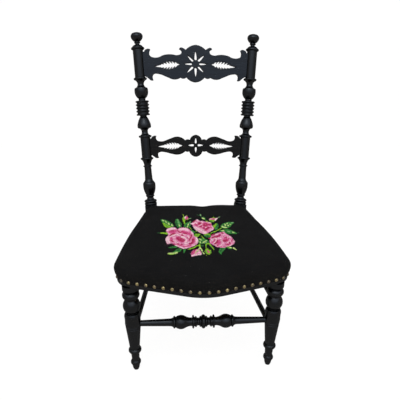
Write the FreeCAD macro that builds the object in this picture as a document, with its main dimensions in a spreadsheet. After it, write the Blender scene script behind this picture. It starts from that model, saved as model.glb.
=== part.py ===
import FreeCAD, Part
import math
import os
from types import SimpleNamespace

import Sketcher

# A low nursing chair: turned frame, two scroll-cut pierced back rails and a stuffed-over seat.
# Millimetres and degrees, +Z up, front towards -Y, origin on the floor under the middle of the chair.
# The left-hand pieces are drawn; the right-hand ones are their mirror images.

doc = FreeCAD.newDocument("nursing_chair")

SIZES = [
    # stance of the back
    ("knee_height", 285, "height at which the post turns back"),
    ("knee_half", 148.3, "post axis from the middle, at the knee"),
    ("knee_back", 166.1, "post axis behind the origin, at the knee"),
    ("back_lean", 11.08, "lean of the back"),
    ("post_splay", 3.653, "spread of the posts, in the plane of the back"),
    ("leg_rake", 9, "backward rake of the rear legs"),
    ("seat_block", 37, "square block of the post at the seat"),
    ("block_rise", 29.9, "block above the knee"),
    ("block_drop", 30, "block below the knee"),
    ("rear_leg_top", 31, "rear leg diameter at the block"),
    ("rear_leg_foot", 23, "rear leg diameter at the floor"),
    # turning of the posts, from the seat block upwards
    ("base_ring", 9, "each of the two base rings"),
    ("base_ring_dia", 40.8, ""),
    ("base_cove", 10.6, ""),
    ("base_cove_dia", 21.6, ""),
    ("small_ring", 5.5, ""),
    ("small_ring_dia", 28.6, ""),
    ("low_vase", 53, "lower vase with its shoulder"),
    ("low_vase_dia", 40.6, ""),
    ("shaft", 40.2, "plain shaft above the lower vase"),
    ("shaft_dia", 24.6, "at the vase"),
    ("shaft_top_dia", 22.4, ""),
    ("thin_ring", 4.8, ""),
    ("thin_ring_dia", 28.4, ""),
    ("flare", 18.9, "hollow under the lower rail block"),
    ("block_ring", 6.8, "rings beside the rail blocks"),
    ("block_ring_dia", 41.8, ""),
    ("low_block", 64.9, "round block that takes the lower rail"),
    ("high_block", 85.3, "round block that takes the crest rail"),
    ("rail_block_dia", 32.2, ""),
    ("dome_cove", 24.4, ""),
    ("dome_cove_dia", 20.2, ""),
    ("dome", 35.7, ""),
    ("dome_dia", 43.6, ""),
    ("dome_neck", 3.9, ""),
    ("dome_neck_dia", 21.4, ""),
    ("coil_pitch", 10.18, "ridge to ridge"),
    ("coil_ridge", 4.2, "width of a ridge"),
    ("coil_dia", 42.6, ""),
    ("coil_groove", 3.6, "depth between ridges"),
    ("coil_round", 0.9, "rounding of a ridge"),
    ("vase_neck", 7, ""),
    ("vase_neck_dia", 22, ""),
    ("high_vase", 33, "upper vase"),
    ("high_vase_dia", 43.4, ""),
    ("vase_cove", 25.2, ""),
    ("vase_cove_dia", 19.8, ""),
    # finials
    ("cap", 7.9, "domed cap above the top ring"),
    ("cap_neck", 4, ""),
    ("cap_neck_dia", 13.4, ""),
    ("button", 5, ""),
    ("button_dia", 19.4, ""),
    ("knob", 28, ""),
    ("knob_dia", 37.8, ""),
    ("spigot", 22, "finial spigot in the post"),
    ("spigot_dia", 10, ""),
    # front legs, from the floor upwards
    ("leg_inset", 39.1, "leg axis at the floor, from the side of the seat"),
    ("leg_setback", 66.7, "leg axis behind the front of the seat"),
    ("leg_splay", 1.03, ""),
    ("toe", 16.2, ""),
    ("toe_dia", 20, ""),
    ("toe_flat_dia", 13, "flat the leg stands on"),
    ("foot_ring", 13.6, ""),
    ("foot_ring_dia", 26.6, ""),
    ("ankle", 25.2, ""),
    ("ankle_dia", 19.4, ""),
    ("collar", 13, ""),
    ("collar_dia", 33.4, ""),
    ("taper_foot_dia", 25.2, "tapered leg above the collar"),
    ("taper_top_dia", 40.2, ""),
    ("band", 30, "band above the taper"),
    ("band_groove", 1, "two fine grooves below the band"),
    ("band_groove_pitch", 6.5, ""),
    ("leg_notch", 3.4, "necks beside the ball"),
    ("leg_notch_dia", 28, ""),
    ("ball", 35, ""),
    ("ball_dia", 43.4, ""),
    ("leg_ring", 19.5, ""),
    ("leg_ring_dia", 43, ""),
    ("leg_cove", 6.4, ""),
    ("leg_cove_dia", 31, ""),
    ("leg_collar", 13, "plain collar under the seat"),
    ("leg_collar_dia", 40.6, ""),
    ("leg_tenon", 20, ""),
    ("leg_tenon_dia", 22, ""),
    # stretchers
    ("front_stretcher_height", 142, ""),
    ("bead", 10.6, "bead in the middle of the front stretcher"),
    ("bead_dia", 34.8, ""),
    ("flank_ring", 4.3, "thin rings of the front stretcher"),
    ("flank_ring_dia", 27.4, ""),
    ("flank_cove", 7.6, ""),
    ("flank_cove_dia", 19, ""),
    ("outer_ring", 4.6, "ring before the bulb"),
    ("outer_ring_dia", 33.2, ""),
    ("ring_gap", 2.4, ""),
    ("bulb_neck", 9.2, ""),
    ("bulb_neck_dia", 21.2, ""),
    ("bulb", 33.6, ""),
    ("bulb_dia", 35, ""),
    ("end_ring", 5.6, "ring after the bulb"),
    ("end_ring_dia", 30.8, ""),
    ("rod_flare", 9, "rod flares towards its ring"),
    ("rod_dia", 19, "tapered rod at its flare"),
    ("rod_end_dia", 15, "tapered rod at the leg"),
    ("side_rod_dia", 14, "plain rods at the sides and the rear"),
    ("low_rod_height", 117, ""),
    ("high_rod_height", 198, ""),
    ("rear_rod_height", 158, ""),
    ("rod_stop", 3, "rod end short of the leg's axis"),
    # seat frame, seen from above; the plan is the outline of the stuffing
    ("knee_rise", 27.9, "knee of the posts above the bottom of the seat"),
    ("rail_height", 30, ""),
    ("seat_front", 290.7, "front of the plan before the origin"),
    ("rear_set", 3.1, "rear of the plan behind the posts' axes"),
    ("front_angle", 17.4, "slant of the two halves of the front"),
    ("bow_half", 44.9, "half length of the curve in the middle of the front"),
    ("corner_width", 38.3, "front corner, side to side"),
    ("corner_depth", 59.5, "front corner, front to rear"),
    ("seat_half", 215.2, "half width at the end of the corner"),
    ("rear_over", 8.1, "plan at the rear, beyond the posts' axes"),
    ("lip", 5.4, "each of the two mouldings of the lip"),
    ("lip_step", 1.4, "upper moulding behind the lower one"),
    ("lip_round", 2.2, "rounding of the mouldings"),
    ("rebate", 3.4, "rail face behind the lip"),
    ("front_joint", 120, "joint of front and side rails, from the middle"),
    ("front_rail_width", 64.7, "front rail, front to rear in the middle"),
    ("corner_block", 112.7, "rear of the corner block behind the front of the seat"),
    ("side_rail_width", 44, "side rail at the front"),
    ("rear_rail", 23, "thickness of the rear rail"),
    # joints
    ("fit", 0.15, "clearance all round in mortises and holes"),
    ("tongue", 12, "thickness of the seat rail tenons"),
    ("tongue_width", 20, "front rail tenon, front to rear"),
    ("tongue_length", 24, "front rail tenon"),
    ("post_tongue", 13, "length of the seat rail tenons in the posts"),
    ("post_tongue_width", 9, ""),
    ("back_tongue", 14, "length of the back rail tenons"),
    ("back_tongue_width", 7, ""),
    ("back_tongue_height", 42, "crest rail tenon"),
    ("low_tongue_height", 30, "lower rail tenon"),
    # back rails
    ("back_rail", 16, "thickness of the back rails"),
    ("star_offset", 0.7, "star above the middle of the upper block"),
    ("cross_offset", 7, "cross above the middle of the lower block"),
    ("crest_top", 57.3, "crown above the star"),
    ("crest_bottom", 55.4, "lobe below the star"),
    ("crest_notch", 31.7, "end of the crown, from the middle"),
    ("scroll_tip", 52, "tip of the scroll, from the middle"),
    ("scroll_rise", 48.8, "top of the scroll above the star"),
    ("ear_reach", 19.6, "ear tip from the post"),
    ("ear_rise", 43, "crest ear above the star"),
    ("ear_drop", 50.7, "crest ear below the star"),
    ("waist_rise", 17.4, "hollow beside the crest ear, above the star"),
    ("waist_drop", 29.4, "hollow beside the crest ear, below the star"),
    ("petal_root", 11.2, "star petal from the centre"),
    ("petal_tip", 39.5, ""),
    ("petal_width", 7.4, ""),
    ("leaf_start", 50.6, "crest leaf from the middle"),
    ("leaf_end", 128.3, ""),
    ("leaf_sink", 7.6, "leaf end below its start"),
    ("leaf_half", 13, "half width of the crest leaf"),
    ("low_top", 34.2, "medallion above the cross"),
    ("low_bottom", 37.5, "medallion below the cross"),
    ("medallion_half", 19.6, ""),
    ("low_ear_reach", 19.2, "ear tip from the post"),
    ("low_ear_rise", 30.7, "lower rail ear above the cross"),
    ("low_ear_drop", 41.5, "lower rail ear below the cross"),
    ("lobe_rise", 27.8, "swelling above the cross"),
    ("lobe_drop", 30.2, "swelling below the cross"),
    ("cross_root", 6.2, "cross petal from the centre"),
    ("cross_tip", 24.6, ""),
    ("cross_width", 6.4, ""),
    ("low_leaf_start", 45.9, "lower leaf from the middle"),
    ("low_leaf_end", 119.1, ""),
    ("low_leaf_half", 10.8, ""),
    # upholstery
    ("web", 0.9, "thickness of the webbing"),
    ("web_width", 46, ""),
    ("web_pitch", 57, "lengthwise straps, middle to middle"),
    ("web_cross_pitch", 65.55, "crosswise straps, middle to middle"),
    ("web_cross_first", 38.35, "first crosswise strap behind the corner block"),
    ("web_hold", 22, "webbing end on the rail"),
    ("hessian", 0.7, ""),
    ("cloth", 2, "thickness of the cover"),
    ("crown_rise", 70.9, "top of the cover above the bottom of the seat"),
    ("crown_radius", 1700, "curve of the crown"),
    ("crown_middle", 40, "top of the crown before the origin"),
    ("edge_round", 21, "rounded edge of the cover"),
    ("slack", 0.4, "stuffing within the cover"),
    ("nail_rise", 15, "nails above the bottom of the seat"),
    ("nail_pitch", 21.8, ""),
    ("nail_shift", 7, "nail of the front row nearest the middle, to its right"),
    ("nail_dia", 9.2, ""),
    ("nail_dome", 3, ""),
    ("nail_shank", 7, ""),
    ("nail_wire", 1.6, "square shank"),
]

sheet = doc.addObject("Spreadsheet::Sheet", "dims")
for row, (alias, value, note) in enumerate(SIZES, 1):
    sheet.set("A%d" % row, alias)
    sheet.set("B%d" % row, "%g" % value)
    sheet.setAlias("B%d" % row, alias)
    sheet.set("C%d" % row, note)
doc.recompute()


def text(item):
    return item.text if isinstance(item, Size) else "%.6g" % item


def number(item):
    return item.value if isinstance(item, Size) else float(item)


class Size:
    """A length with the sheet expression it comes from, so that sums of sizes stay bound to the sheet."""

    def __init__(self, value, words):
        self.value = value
        self.text = words

    def __add__(self, other):
        return Size(self.value + number(other), "(%s + %s)" % (self.text, text(other)))

    def __radd__(self, other):
        return self + other

    def __sub__(self, other):
        return Size(self.value - number(other), "(%s - %s)" % (self.text, text(other)))

    def __rsub__(self, other):
        return Size(number(other) - self.value, "(%s - %s)" % (text(other), self.text))

    def __mul__(self, other):
        return Size(self.value * number(other), "(%s * %s)" % (self.text, text(other)))

    def __rmul__(self, other):
        return self * other

    def __truediv__(self, other):
        return Size(self.value / number(other), "(%s / %s)" % (self.text, text(other)))

    def __neg__(self):
        return Size(-self.value, "(-%s)" % self.text)


def tan(angle):
    return Size(math.tan(math.radians(angle.value)), "tan(%s)" % angle.text)


def cos(angle):
    return Size(math.cos(math.radians(angle.value)), "cos(%s)" % angle.text)


def atan(ratio):
    return Size(math.degrees(math.atan(ratio.value)), "(atan(%s) / 1 deg)" % ratio.text)


def root(square):
    return Size(math.sqrt(square.value), "sqrt(%s)" % square.text)


d = SimpleNamespace(**{alias: Size(float(value), "dims.%s" % alias) for alias, value, note in SIZES})

# Sizes that follow from others
seat_bottom = d.knee_height - d.knee_rise
seat_rear = d.knee_back + d.rear_set
rear_half = d.knee_half + d.rear_over
corner_start = d.seat_half - d.corner_width
leg_half = d.seat_half - d.leg_inset
leg_front = d.seat_front - d.leg_setback
front_rail_inner = d.seat_front - d.front_rail_width
corner_inner = d.seat_front - d.corner_block
crown_top = seat_bottom + d.crown_rise
nail_height = seat_bottom + d.nail_rise


# Frames: where a piece stands, as the text of a placement bound to the sheet
AXIS = {"x": "vector(1; 0; 0)", "y": "vector(0; 1; 0)", "z": "vector(0; 0; 1)"}


def frame(x, y, z, *turns):
    spin = " * ".join("rotation(%s; %s)" % (AXIS[axis], text(angle)) for axis, angle in turns)
    spin = spin or "rotation(vector(0; 0; 1); 0)"
    return "placement(vector(%s; %s; %s); %s)" % (text(x), text(y), text(z), spin)


def place(piece, where):
    piece.setExpression("Placement", where)
    return piece


BACK = frame(0, d.knee_back, d.knee_height, ("x", -d.back_lean))
POST = BACK + " * " + frame(-d.knee_half, 0, 0, ("y", -d.post_splay))
REAR_LEG = frame(-d.knee_half, d.knee_back, d.knee_height, ("x", d.leg_rake), ("y", -d.post_splay))
LEG = frame(-leg_half, -leg_front, 0, ("y", -d.leg_splay))


# Drawing helpers
def bind(piece, **sizes):
    for name, size in sizes.items():
        piece.setExpression(name, text(size))
    return piece


def plane(body, role):
    return [item for item in body.Origin.OriginFeatures if item.Role == role][0]


def sketch_on(body, role, name):
    sketch = body.newObject("Sketcher::SketchObject", name)
    sketch.AttachmentSupport = (plane(body, role), [""])
    sketch.MapMode = "FlatFace"
    return sketch


def trace(sketch, start, steps):
    """Draws a closed outline and pins its corners; a step is a line (x, y) or an arc (via x, via y, x, y)."""
    corners = [start] + [step[-2:] for step in steps]
    spots = [FreeCAD.Vector(number(x), number(y), 0) for x, y in corners]
    steps = list(steps) + [start]
    if spots[0].distanceToPoint(spots[-1]) < 1e-6:
        for ready in (corners, spots, steps):
            ready.pop()
    rules = []
    bound = []

    def pin(shape, end, x, y):
        for kind, axis, size in (("DistanceX", -2, x), ("DistanceY", -1, y)):
            if isinstance(size, Size):
                bound.append((len(rules), size.text))
                rules.append(Sketcher.Constraint(kind, -1, 1, shape, end, size.value))
            elif size == 0:
                rules.append(Sketcher.Constraint("PointOnObject", shape, end, axis))
            else:
                rules.append(Sketcher.Constraint(kind, -1, 1, shape, end, float(size)))

    ends = []
    for i, step in enumerate(steps):
        a = spots[i]
        b = spots[(i + 1) % len(spots)]
        if len(step) == 2:
            shape = sketch.addGeometry(Part.LineSegment(a, b), False)
            ends.append((shape, 1, 2))
            continue
        via = FreeCAD.Vector(number(step[0]), number(step[1]), 0)
        curve = Part.Arc(a, via, b).toShape().Curve
        leftward = (via - a).cross(b - via).z > 0
        rays = [spot - curve.Center for spot in ((a, b) if leftward else (b, a))]
        circle = Part.Circle(curve.Center, FreeCAD.Vector(0, 0, 1), curve.Radius)
        arc = Part.ArcOfCircle(circle, *[math.atan2(ray.y, ray.x) for ray in rays])
        shape = sketch.addGeometry(arc, False)
        ends.append((shape, 1, 2) if leftward else (shape, 2, 1))
        mark = sketch.addGeometry(Part.Point(via), True)
        rules.append(Sketcher.Constraint("PointOnObject", mark, 1, shape))
        pin(mark, 1, step[0], step[1])
    for i, corner in enumerate(corners):
        shape, first, last = ends[i]
        rules.append(Sketcher.Constraint("Coincident", *ends[i - 1][::2], shape, first))
        pin(shape, first, *corner)
    sketch.addConstraint(rules)
    for index, words in bound:
        sketch.setExpression("Constraints[%d]" % index, words)


def turned(name, steps, where, doubled=False):
    """A turning about Z; its outline begins and ends on the axis, and it may be doubled below its start."""
    body = doc.addObject("PartDesign::Body", name)
    sketch = sketch_on(body, "XZ_Plane", name + "_profile")
    trace(sketch, steps[0], steps[1:])
    turning = body.newObject("PartDesign::Revolution", name + "_turning")
    turning.Profile = sketch
    turning.ReferenceAxis = (sketch, ["V_Axis"])
    turning.Angle = 360
    body.Tip = turning
    if doubled:
        doc.recompute([body])
        whole = body.newObject("PartDesign::Mirrored", name + "_whole")
        whole.Originals = [turning]
        whole.MirrorPlane = (plane(body, "XY_Plane"), [""])
        body.Tip = whole
    return place(body, where)


def box(name, where, sizes, middle):
    """A box given by its three sizes and the place of its middle."""
    piece = bind(doc.addObject("Part::Box", name), Length=sizes[0], Width=sizes[1], Height=sizes[2])
    corner = [spot - size / 2 for spot, size in zip(middle, sizes)]
    return place(piece, where + " * " + frame(*corner))


def rod(name, where, radius, length):
    """A cylinder that starts at a frame and runs along its Z."""
    piece = bind(doc.addObject("Part::Cylinder", name), Radius=radius, Height=length)
    return place(piece, where)


def joined(kind, name, **links):
    piece = doc.addObject(kind, name)
    for link, value in links.items():
        setattr(piece, link, value)
    return piece


def fuse(name, *pieces):
    return joined("Part::MultiFuse", name, Shapes=list(pieces), Refine=True)


def cut(name, base, *tools):
    tool = tools[0] if len(tools) == 1 else joined("Part::MultiFuse", name + "_tools", Shapes=list(tools))
    return joined("Part::Cut", name, Base=base, Tool=tool, Refine=True)


def common(name, base, tool):
    return joined("Part::Common", name, Base=base, Tool=tool, Refine=True)


def mirror(name, piece):
    return joined("Part::Mirroring", name, Source=piece, Normal=FreeCAD.Vector(1, 0, 0))


def both(piece):
    return piece, mirror(piece.Name + "_mirrored", piece)


ORIGIN = frame(0, 0, 0)
below_floor = box("below_floor", ORIGIN, (d.seat_front * 4, d.seat_front * 4, d.toe * 2), (0, 0, -d.toe))

# Turning shapes, each a list of steps that starts at height z


def bead(z, length, dia):
    """A half-round ring."""
    foot = (dia - length) / 2
    return [(foot, z), (dia / 2, z + length / 2, foot, z + length)]


def swell(z, length, foot_dia, dia):
    """A shallow swelling that rises from a smaller diameter."""
    return [(foot_dia / 2, z), (dia / 2, z + length / 2, foot_dia / 2, z + length)]


def cap(z, length, radius):
    """A step along a spherical end that closes on the axis."""
    chord = root(radius * radius + length * length)
    return chord / 2, z + length - chord * (chord - radius) / (length * 2), 0, z + length


# Back posts
z = d.block_rise
steps = [(0, z - d.base_ring * 2), (d.base_cove_dia / 2, z - d.base_ring * 2), (d.base_cove_dia / 2, z)]
steps += bead(z, d.base_ring, d.base_ring_dia)
z = z + d.base_ring
steps += bead(z, d.base_ring, d.base_ring_dia)[1:]
z = z + d.base_ring
foot = (d.small_ring_dia - d.small_ring) / 2
steps.append((d.base_cove_dia / 2, z + d.base_cove * 0.6, foot, z + d.base_cove))
z = z + d.base_cove
steps += bead(z, d.small_ring, d.small_ring_dia)[1:]
z = z + d.small_ring
wide = d.low_vase_dia / 2
steps += [
    (wide * 0.62, z),
    (wide * 0.925, z + d.low_vase * 0.3, wide, z + d.low_vase * 0.63),
    (wide * 0.99, z + d.low_vase * 0.72, wide * 0.92, z + d.low_vase * 0.78),
    (wide * 0.7, z + d.low_vase * 0.89, d.shaft_dia / 2, z + d.low_vase),
]
z = z + d.low_vase + d.shaft
steps.append((d.shaft_top_dia / 2, z))
steps += bead(z, d.thin_ring, d.thin_ring_dia)
z = z + d.thin_ring
slim = d.shaft_top_dia / 2
ring_foot = (d.block_ring_dia - d.block_ring) / 2
steps += [(slim, z), (slim * 1.2, z + d.flare * 0.62, ring_foot, z + d.flare)]
z = z + d.flare
steps += bead(z, d.block_ring, d.block_ring_dia)[1:]
z = z + d.block_ring
low_block_middle = z + d.low_block / 2
steps += [(d.rail_block_dia / 2, z), (d.rail_block_dia / 2, low_block_middle), (0, low_block_middle)]
post_low_turning = turned("post_low_turning", steps, POST)
steps = [(0, low_block_middle), (d.rail_block_dia / 2, low_block_middle)]
z = z + d.low_block
steps.append((d.rail_block_dia / 2, z))
steps += bead(z, d.block_ring, d.block_ring_dia)
z = z + d.block_ring
neck = d.dome_cove_dia / 2
wide = d.dome_dia / 2
steps += [
    (neck * 1.14, z + d.dome_cove * 0.19, neck, z + d.dome_cove * 0.475),
    (neck * 1.1, z + d.dome_cove * 0.72, neck * 1.36, z + d.dome_cove * 0.87),
    (wide * 0.97, z + d.dome_cove),
]
z = z + d.dome_cove
steps += [
    (wide, z + d.dome * 0.12, wide * 0.955, z + d.dome * 0.36),
    (wide * 0.81, z + d.dome * 0.625, d.dome_neck_dia / 2, z + d.dome),
]
z = z + d.dome + d.dome_neck
steps.append((d.dome_neck_dia / 2, z))
wide = d.coil_dia / 2
edge = wide - d.coil_round
steps += [(edge, z), (wide, z + d.coil_ridge / 2, edge, z + d.coil_ridge)]
for groove in range(4):
    steps.append((wide - d.coil_groove, z + (d.coil_pitch + d.coil_ridge) / 2, edge, z + d.coil_pitch))
    z = z + d.coil_pitch
    steps.append((wide, z + d.coil_ridge / 2, edge, z + d.coil_ridge))
z = z + d.coil_ridge
steps.append((d.vase_neck_dia / 2, z))
z = z + d.vase_neck
steps.append((d.vase_neck_dia / 2, z))
wide = d.high_vase_dia / 2
steps += [
    (wide * 0.87, z + d.high_vase * 0.3, wide, z + d.high_vase * 0.68),
    (wide * 0.985, z + d.high_vase * 0.86, wide * 0.93, z + d.high_vase),
]
z = z + d.high_vase
neck = d.vase_cove_dia / 2
steps += [
    (neck * 1.2, z + d.vase_cove * 0.24, neck, z + d.vase_cove * 0.45),
    (neck * 1.2, z + d.vase_cove * 0.76, ring_foot, z + d.vase_cove),
]
z = z + d.vase_cove
steps += bead(z, d.block_ring, d.block_ring_dia)[1:]
z = z + d.block_ring
high_block_middle = z + d.high_block / 2
steps += [(d.rail_block_dia / 2, z), (d.rail_block_dia / 2, z + d.high_block), (0, z + d.high_block)]
post_top = z + d.high_block
post_high_turning = turned("post_high_turning", steps, POST)

block_middle = (d.block_rise - d.block_drop) / 2
block_size = (d.seat_block, d.seat_block, d.block_rise + d.block_drop)
post_block = box("post_block", POST, block_size, (0, 0, block_middle))
rear_leg_length = d.knee_height / (cos(d.leg_rake) * cos(d.post_splay)) + d.rear_leg_foot / 2
rear_leg = bind(
    doc.addObject("Part::Cone", "rear_leg"),
    Radius1=d.rear_leg_foot / 2,
    Radius2=d.rear_leg_top / 2,
    Height=rear_leg_length,
)
place(rear_leg, REAR_LEG + " * " + frame(0, 0, -rear_leg_length))
post_blank = fuse("post_blank", post_low_turning, post_high_turning, post_block, rear_leg)

# Finials
z = post_top
steps = [(0, z - d.spigot), (d.spigot_dia / 2, z - d.spigot), (d.spigot_dia / 2, z)]
steps += bead(z, d.block_ring, d.block_ring_dia)
z = z + d.block_ring
steps.append((ring_foot * 0.82, z + d.cap * 0.55, d.cap_neck_dia / 2, z + d.cap))
z = z + d.cap + d.cap_neck
steps.append((d.cap_neck_dia / 2, z))
steps += bead(z, d.button, d.button_dia)
z = z + d.button
wide = d.knob_dia / 2
steps += [
    (wide * 0.84, z + d.knob * 0.27, wide, z + d.knob * 0.54),
    (wide * 0.96, z + d.knob * 0.69, wide * 0.76, z + d.knob * 0.875),
    cap(z + d.knob * 0.875, d.knob * 0.125, wide * 0.76),
]
finial_left = turned("finial_left", steps, POST)
finial_right = mirror("finial_right", finial_left)
spigot_hole = rod(
    "spigot_hole",
    POST + " * " + frame(0, 0, post_top - d.spigot - d.fit * 2),
    d.spigot_dia / 2 + d.fit,
    d.spigot + d.block_ring,
)

# Front legs; the taper takes up what the other elements leave of the height
leg_length = (seat_bottom - d.fit * 2) / cos(d.leg_splay)
z = -d.fit * 4
steps = [(0, z), (d.toe_flat_dia / 2, z)]
steps.append((d.toe_dia * 0.44, d.toe * 0.4, d.toe_dia / 2, d.toe))
steps += swell(d.toe, d.foot_ring, d.toe_dia, d.foot_ring_dia)[1:]
z = d.toe + d.foot_ring
steps += [(d.ankle_dia / 2, z), (d.ankle_dia * 0.57, z + d.ankle)]
z = z + d.ankle
steps += swell(z, d.collar, d.ankle_dia * 1.2, d.collar_dia)
z = z + d.collar
head = d.band + d.ball + d.leg_ring + d.leg_cove + d.leg_collar + d.leg_notch * 2
steps.append((d.taper_foot_dia / 2, z))
wide = d.taper_top_dia / 2
slope = (wide - d.taper_foot_dia / 2) / (leg_length - head - z)
z = leg_length - head
for groove in (2, 1):
    drop = d.band_groove_pitch * groove
    side = wide - slope * drop
    steps += [
        (side - slope * d.band_groove, z - drop - d.band_groove),
        (side - d.band_groove, z - drop),
        (side + slope * d.band_groove, z - drop + d.band_groove),
    ]
steps += [
    (wide, z),
    (wide * 0.978, z + d.band * 0.3, wide, z + d.band * 0.6),
    (wide * 0.99, z + d.band * 0.82, wide * 0.87, z + d.band),
]
z = z + d.band
steps += [(d.leg_notch_dia / 2, z), (d.leg_notch_dia / 2, z + d.leg_notch)]
z = z + d.leg_notch
steps += swell(z, d.ball, d.leg_notch_dia, d.ball_dia)[1:]
z = z + d.ball + d.leg_notch
steps.append((d.leg_notch_dia / 2, z))
steps += swell(z, d.leg_ring, d.leg_notch_dia * 1.02, d.leg_ring_dia)
z = z + d.leg_ring
steps.append((d.leg_cove_dia / 2, z + d.leg_cove * 0.5, d.leg_collar_dia * 0.48, z + d.leg_cove))
steps += [(d.leg_collar_dia / 2, z + d.leg_cove), (d.leg_collar_dia / 2, leg_length)]
steps += [(d.leg_tenon_dia / 2, leg_length), (d.leg_tenon_dia / 2, leg_length + d.leg_tenon)]
steps.append((0, leg_length + d.leg_tenon))
leg_turning = turned("leg_turning", steps, LEG)
leg_mortise = rod(
    "leg_mortise",
    LEG + " * " + frame(0, 0, leg_length - d.leg_collar / 2),
    d.leg_tenon_dia / 2 + d.fit,
    d.leg_tenon + d.leg_collar / 2 + d.fit * 2,
)

# Front stretcher: one half, doubled
reach = leg_half + d.front_stretcher_height * tan(d.leg_splay) - d.rod_stop
foot = (d.flank_ring_dia - d.flank_ring) / 2
z = d.bead / 2
half = [(0, 0), (d.bead_dia / 2, 0), (foot + (d.bead_dia / 2 - foot) * 0.74, z * 0.68, foot, z)]
half += bead(z, d.flank_ring, d.flank_ring_dia)[1:]
z = z + d.flank_ring
half.append((d.flank_cove_dia / 2, z + d.flank_cove / 2, foot, z + d.flank_cove))
z = z + d.flank_cove
half += bead(z, d.flank_ring, d.flank_ring_dia)[1:]
z = z + d.flank_ring + d.ring_gap
half.append((foot, z))
half += bead(z, d.outer_ring, d.outer_ring_dia)
z = z + d.outer_ring
neck = d.bulb_neck_dia / 2
wide = d.bulb_dia / 2
foot = (d.end_ring_dia - d.end_ring) / 2
half += [(neck, z), (neck, z + d.bulb_neck * 0.6)]
z = z + d.bulb_neck
half += [
    (neck * 1.12, z + d.bulb * 0.07, wide * 0.86, z + d.bulb * 0.28),
    (wide, z + d.bulb * 0.56, foot, z + d.bulb),
]
z = z + d.bulb
half += bead(z, d.end_ring, d.end_ring_dia)[1:]
z = z + d.end_ring
half += [
    (d.rod_dia * 0.54, z + d.rod_flare * 0.45, d.rod_dia / 2, z + d.rod_flare),
    (d.rod_end_dia / 2, reach - d.leg_collar_dia / 2),
    (d.rod_end_dia / 2, reach),
    (0, reach),
]
STRETCHER = frame(0, -leg_front, d.front_stretcher_height, ("y", 90))
front_stretcher = turned("front_stretcher", half, STRETCHER, doubled=True)
stretcher_hole = rod(
    "stretcher_hole",
    STRETCHER + " * " + frame(0, 0, -(reach + d.fit)),
    d.rod_end_dia / 2 + d.fit,
    d.leg_collar_dia,
)

# Plain rods between the legs, and the holes they need


def leg_axis(height):
    return leg_half + height * tan(d.leg_splay), -leg_front


def rear_axis(height):
    drop = d.knee_height - height
    return d.knee_half - drop * tan(d.post_splay) / cos(d.leg_rake), d.knee_back + drop * tan(d.leg_rake)


def side_rod(name, height):
    front_x, front_y = leg_axis(height)
    rear_x, rear_y = rear_axis(height)
    inward = front_x - rear_x
    back = rear_y - front_y
    span = root(inward * inward + back * back)
    start = frame(-front_x, front_y, height, ("z", -atan(inward / back)), ("x", -90))
    piece = rod(name, start + " * " + frame(0, 0, d.rod_stop), d.side_rod_dia / 2, span - d.rod_stop * 2)
    stop = d.rod_stop - d.fit
    hole = rod(name + "_hole", start + " * " + frame(0, 0, stop), d.side_rod_dia / 2 + d.fit, span - stop * 2)
    return piece, hole


side_stretcher_lower_left, low_hole = side_rod("side_stretcher_lower_left", d.low_rod_height)
side_stretcher_upper_left, high_hole = side_rod("side_stretcher_upper_left", d.high_rod_height)
side_stretcher_lower_right = mirror("side_stretcher_lower_right", side_stretcher_lower_left)
side_stretcher_upper_right = mirror("side_stretcher_upper_right", side_stretcher_upper_left)

rear_x, rear_y = rear_axis(d.rear_rod_height)
rear_reach = rear_x - d.rod_stop
REAR_ROD = frame(0, rear_y, d.rear_rod_height, ("y", 90))
rear_stretcher = rod(
    "rear_stretcher", REAR_ROD + " * " + frame(0, 0, -rear_reach), d.side_rod_dia / 2, rear_reach * 2
)
rear_hole = rod(
    "rear_hole",
    REAR_ROD + " * " + frame(0, 0, -(rear_reach + d.fit)),
    d.side_rod_dia / 2 + d.fit,
    d.rear_leg_top,
)

front_leg_left = cut("front_leg_left", leg_turning, below_floor, stretcher_hole, low_hole, high_hole)
front_leg_right = mirror("front_leg_right", front_leg_left)

# Back rails: half an outline padded and mirrored, leaves and petals pierced through


def leaf_outline(start, end, middle, sink, half_width, teeth=6):
    """A serrated leaf; its teeth point to its outer end."""

    def spot(t, width):
        return start + (end - start) * t, middle - sink * t + half_width * width

    def fullness(t):
        return math.sin(math.pi * t ** 0.85)

    side = []
    for tooth in range(teeth):
        t = 0.1 + 0.113 * tooth
        side += [(t, fullness(t) / 2), (t + 0.115, fullness(t + 0.115)), (t + 0.058, fullness(t + 0.058) / 2)]
    upper = [spot(t, width) for t, width in side]
    lower = [spot(t, -width) for t, width in reversed(side)]
    return [spot(0, 0)] + upper + [spot(1, 0)] + lower


def petal_outline(root_at, tip_at, width):
    side = width / 2
    belly = root_at + side
    return [
        (side, belly),
        (side * 0.72, belly + (tip_at - belly) * 0.55, 0, tip_at),
        (-side * 0.72, belly + (tip_at - belly) * 0.55, -side, belly),
        (0, root_at, side, belly),
    ]


def pierce(body, name, steps, depth):
    sketch = sketch_on(body, "XZ_Plane", name + "_outline")
    trace(sketch, steps[0], steps[1:])
    pocket = body.newObject("PartDesign::Pocket", name)
    pocket.Profile = sketch
    pocket.SideType = "Symmetric"
    bind(pocket, Length=depth * 2)
    body.Tip = pocket
    return pocket, sketch


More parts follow.
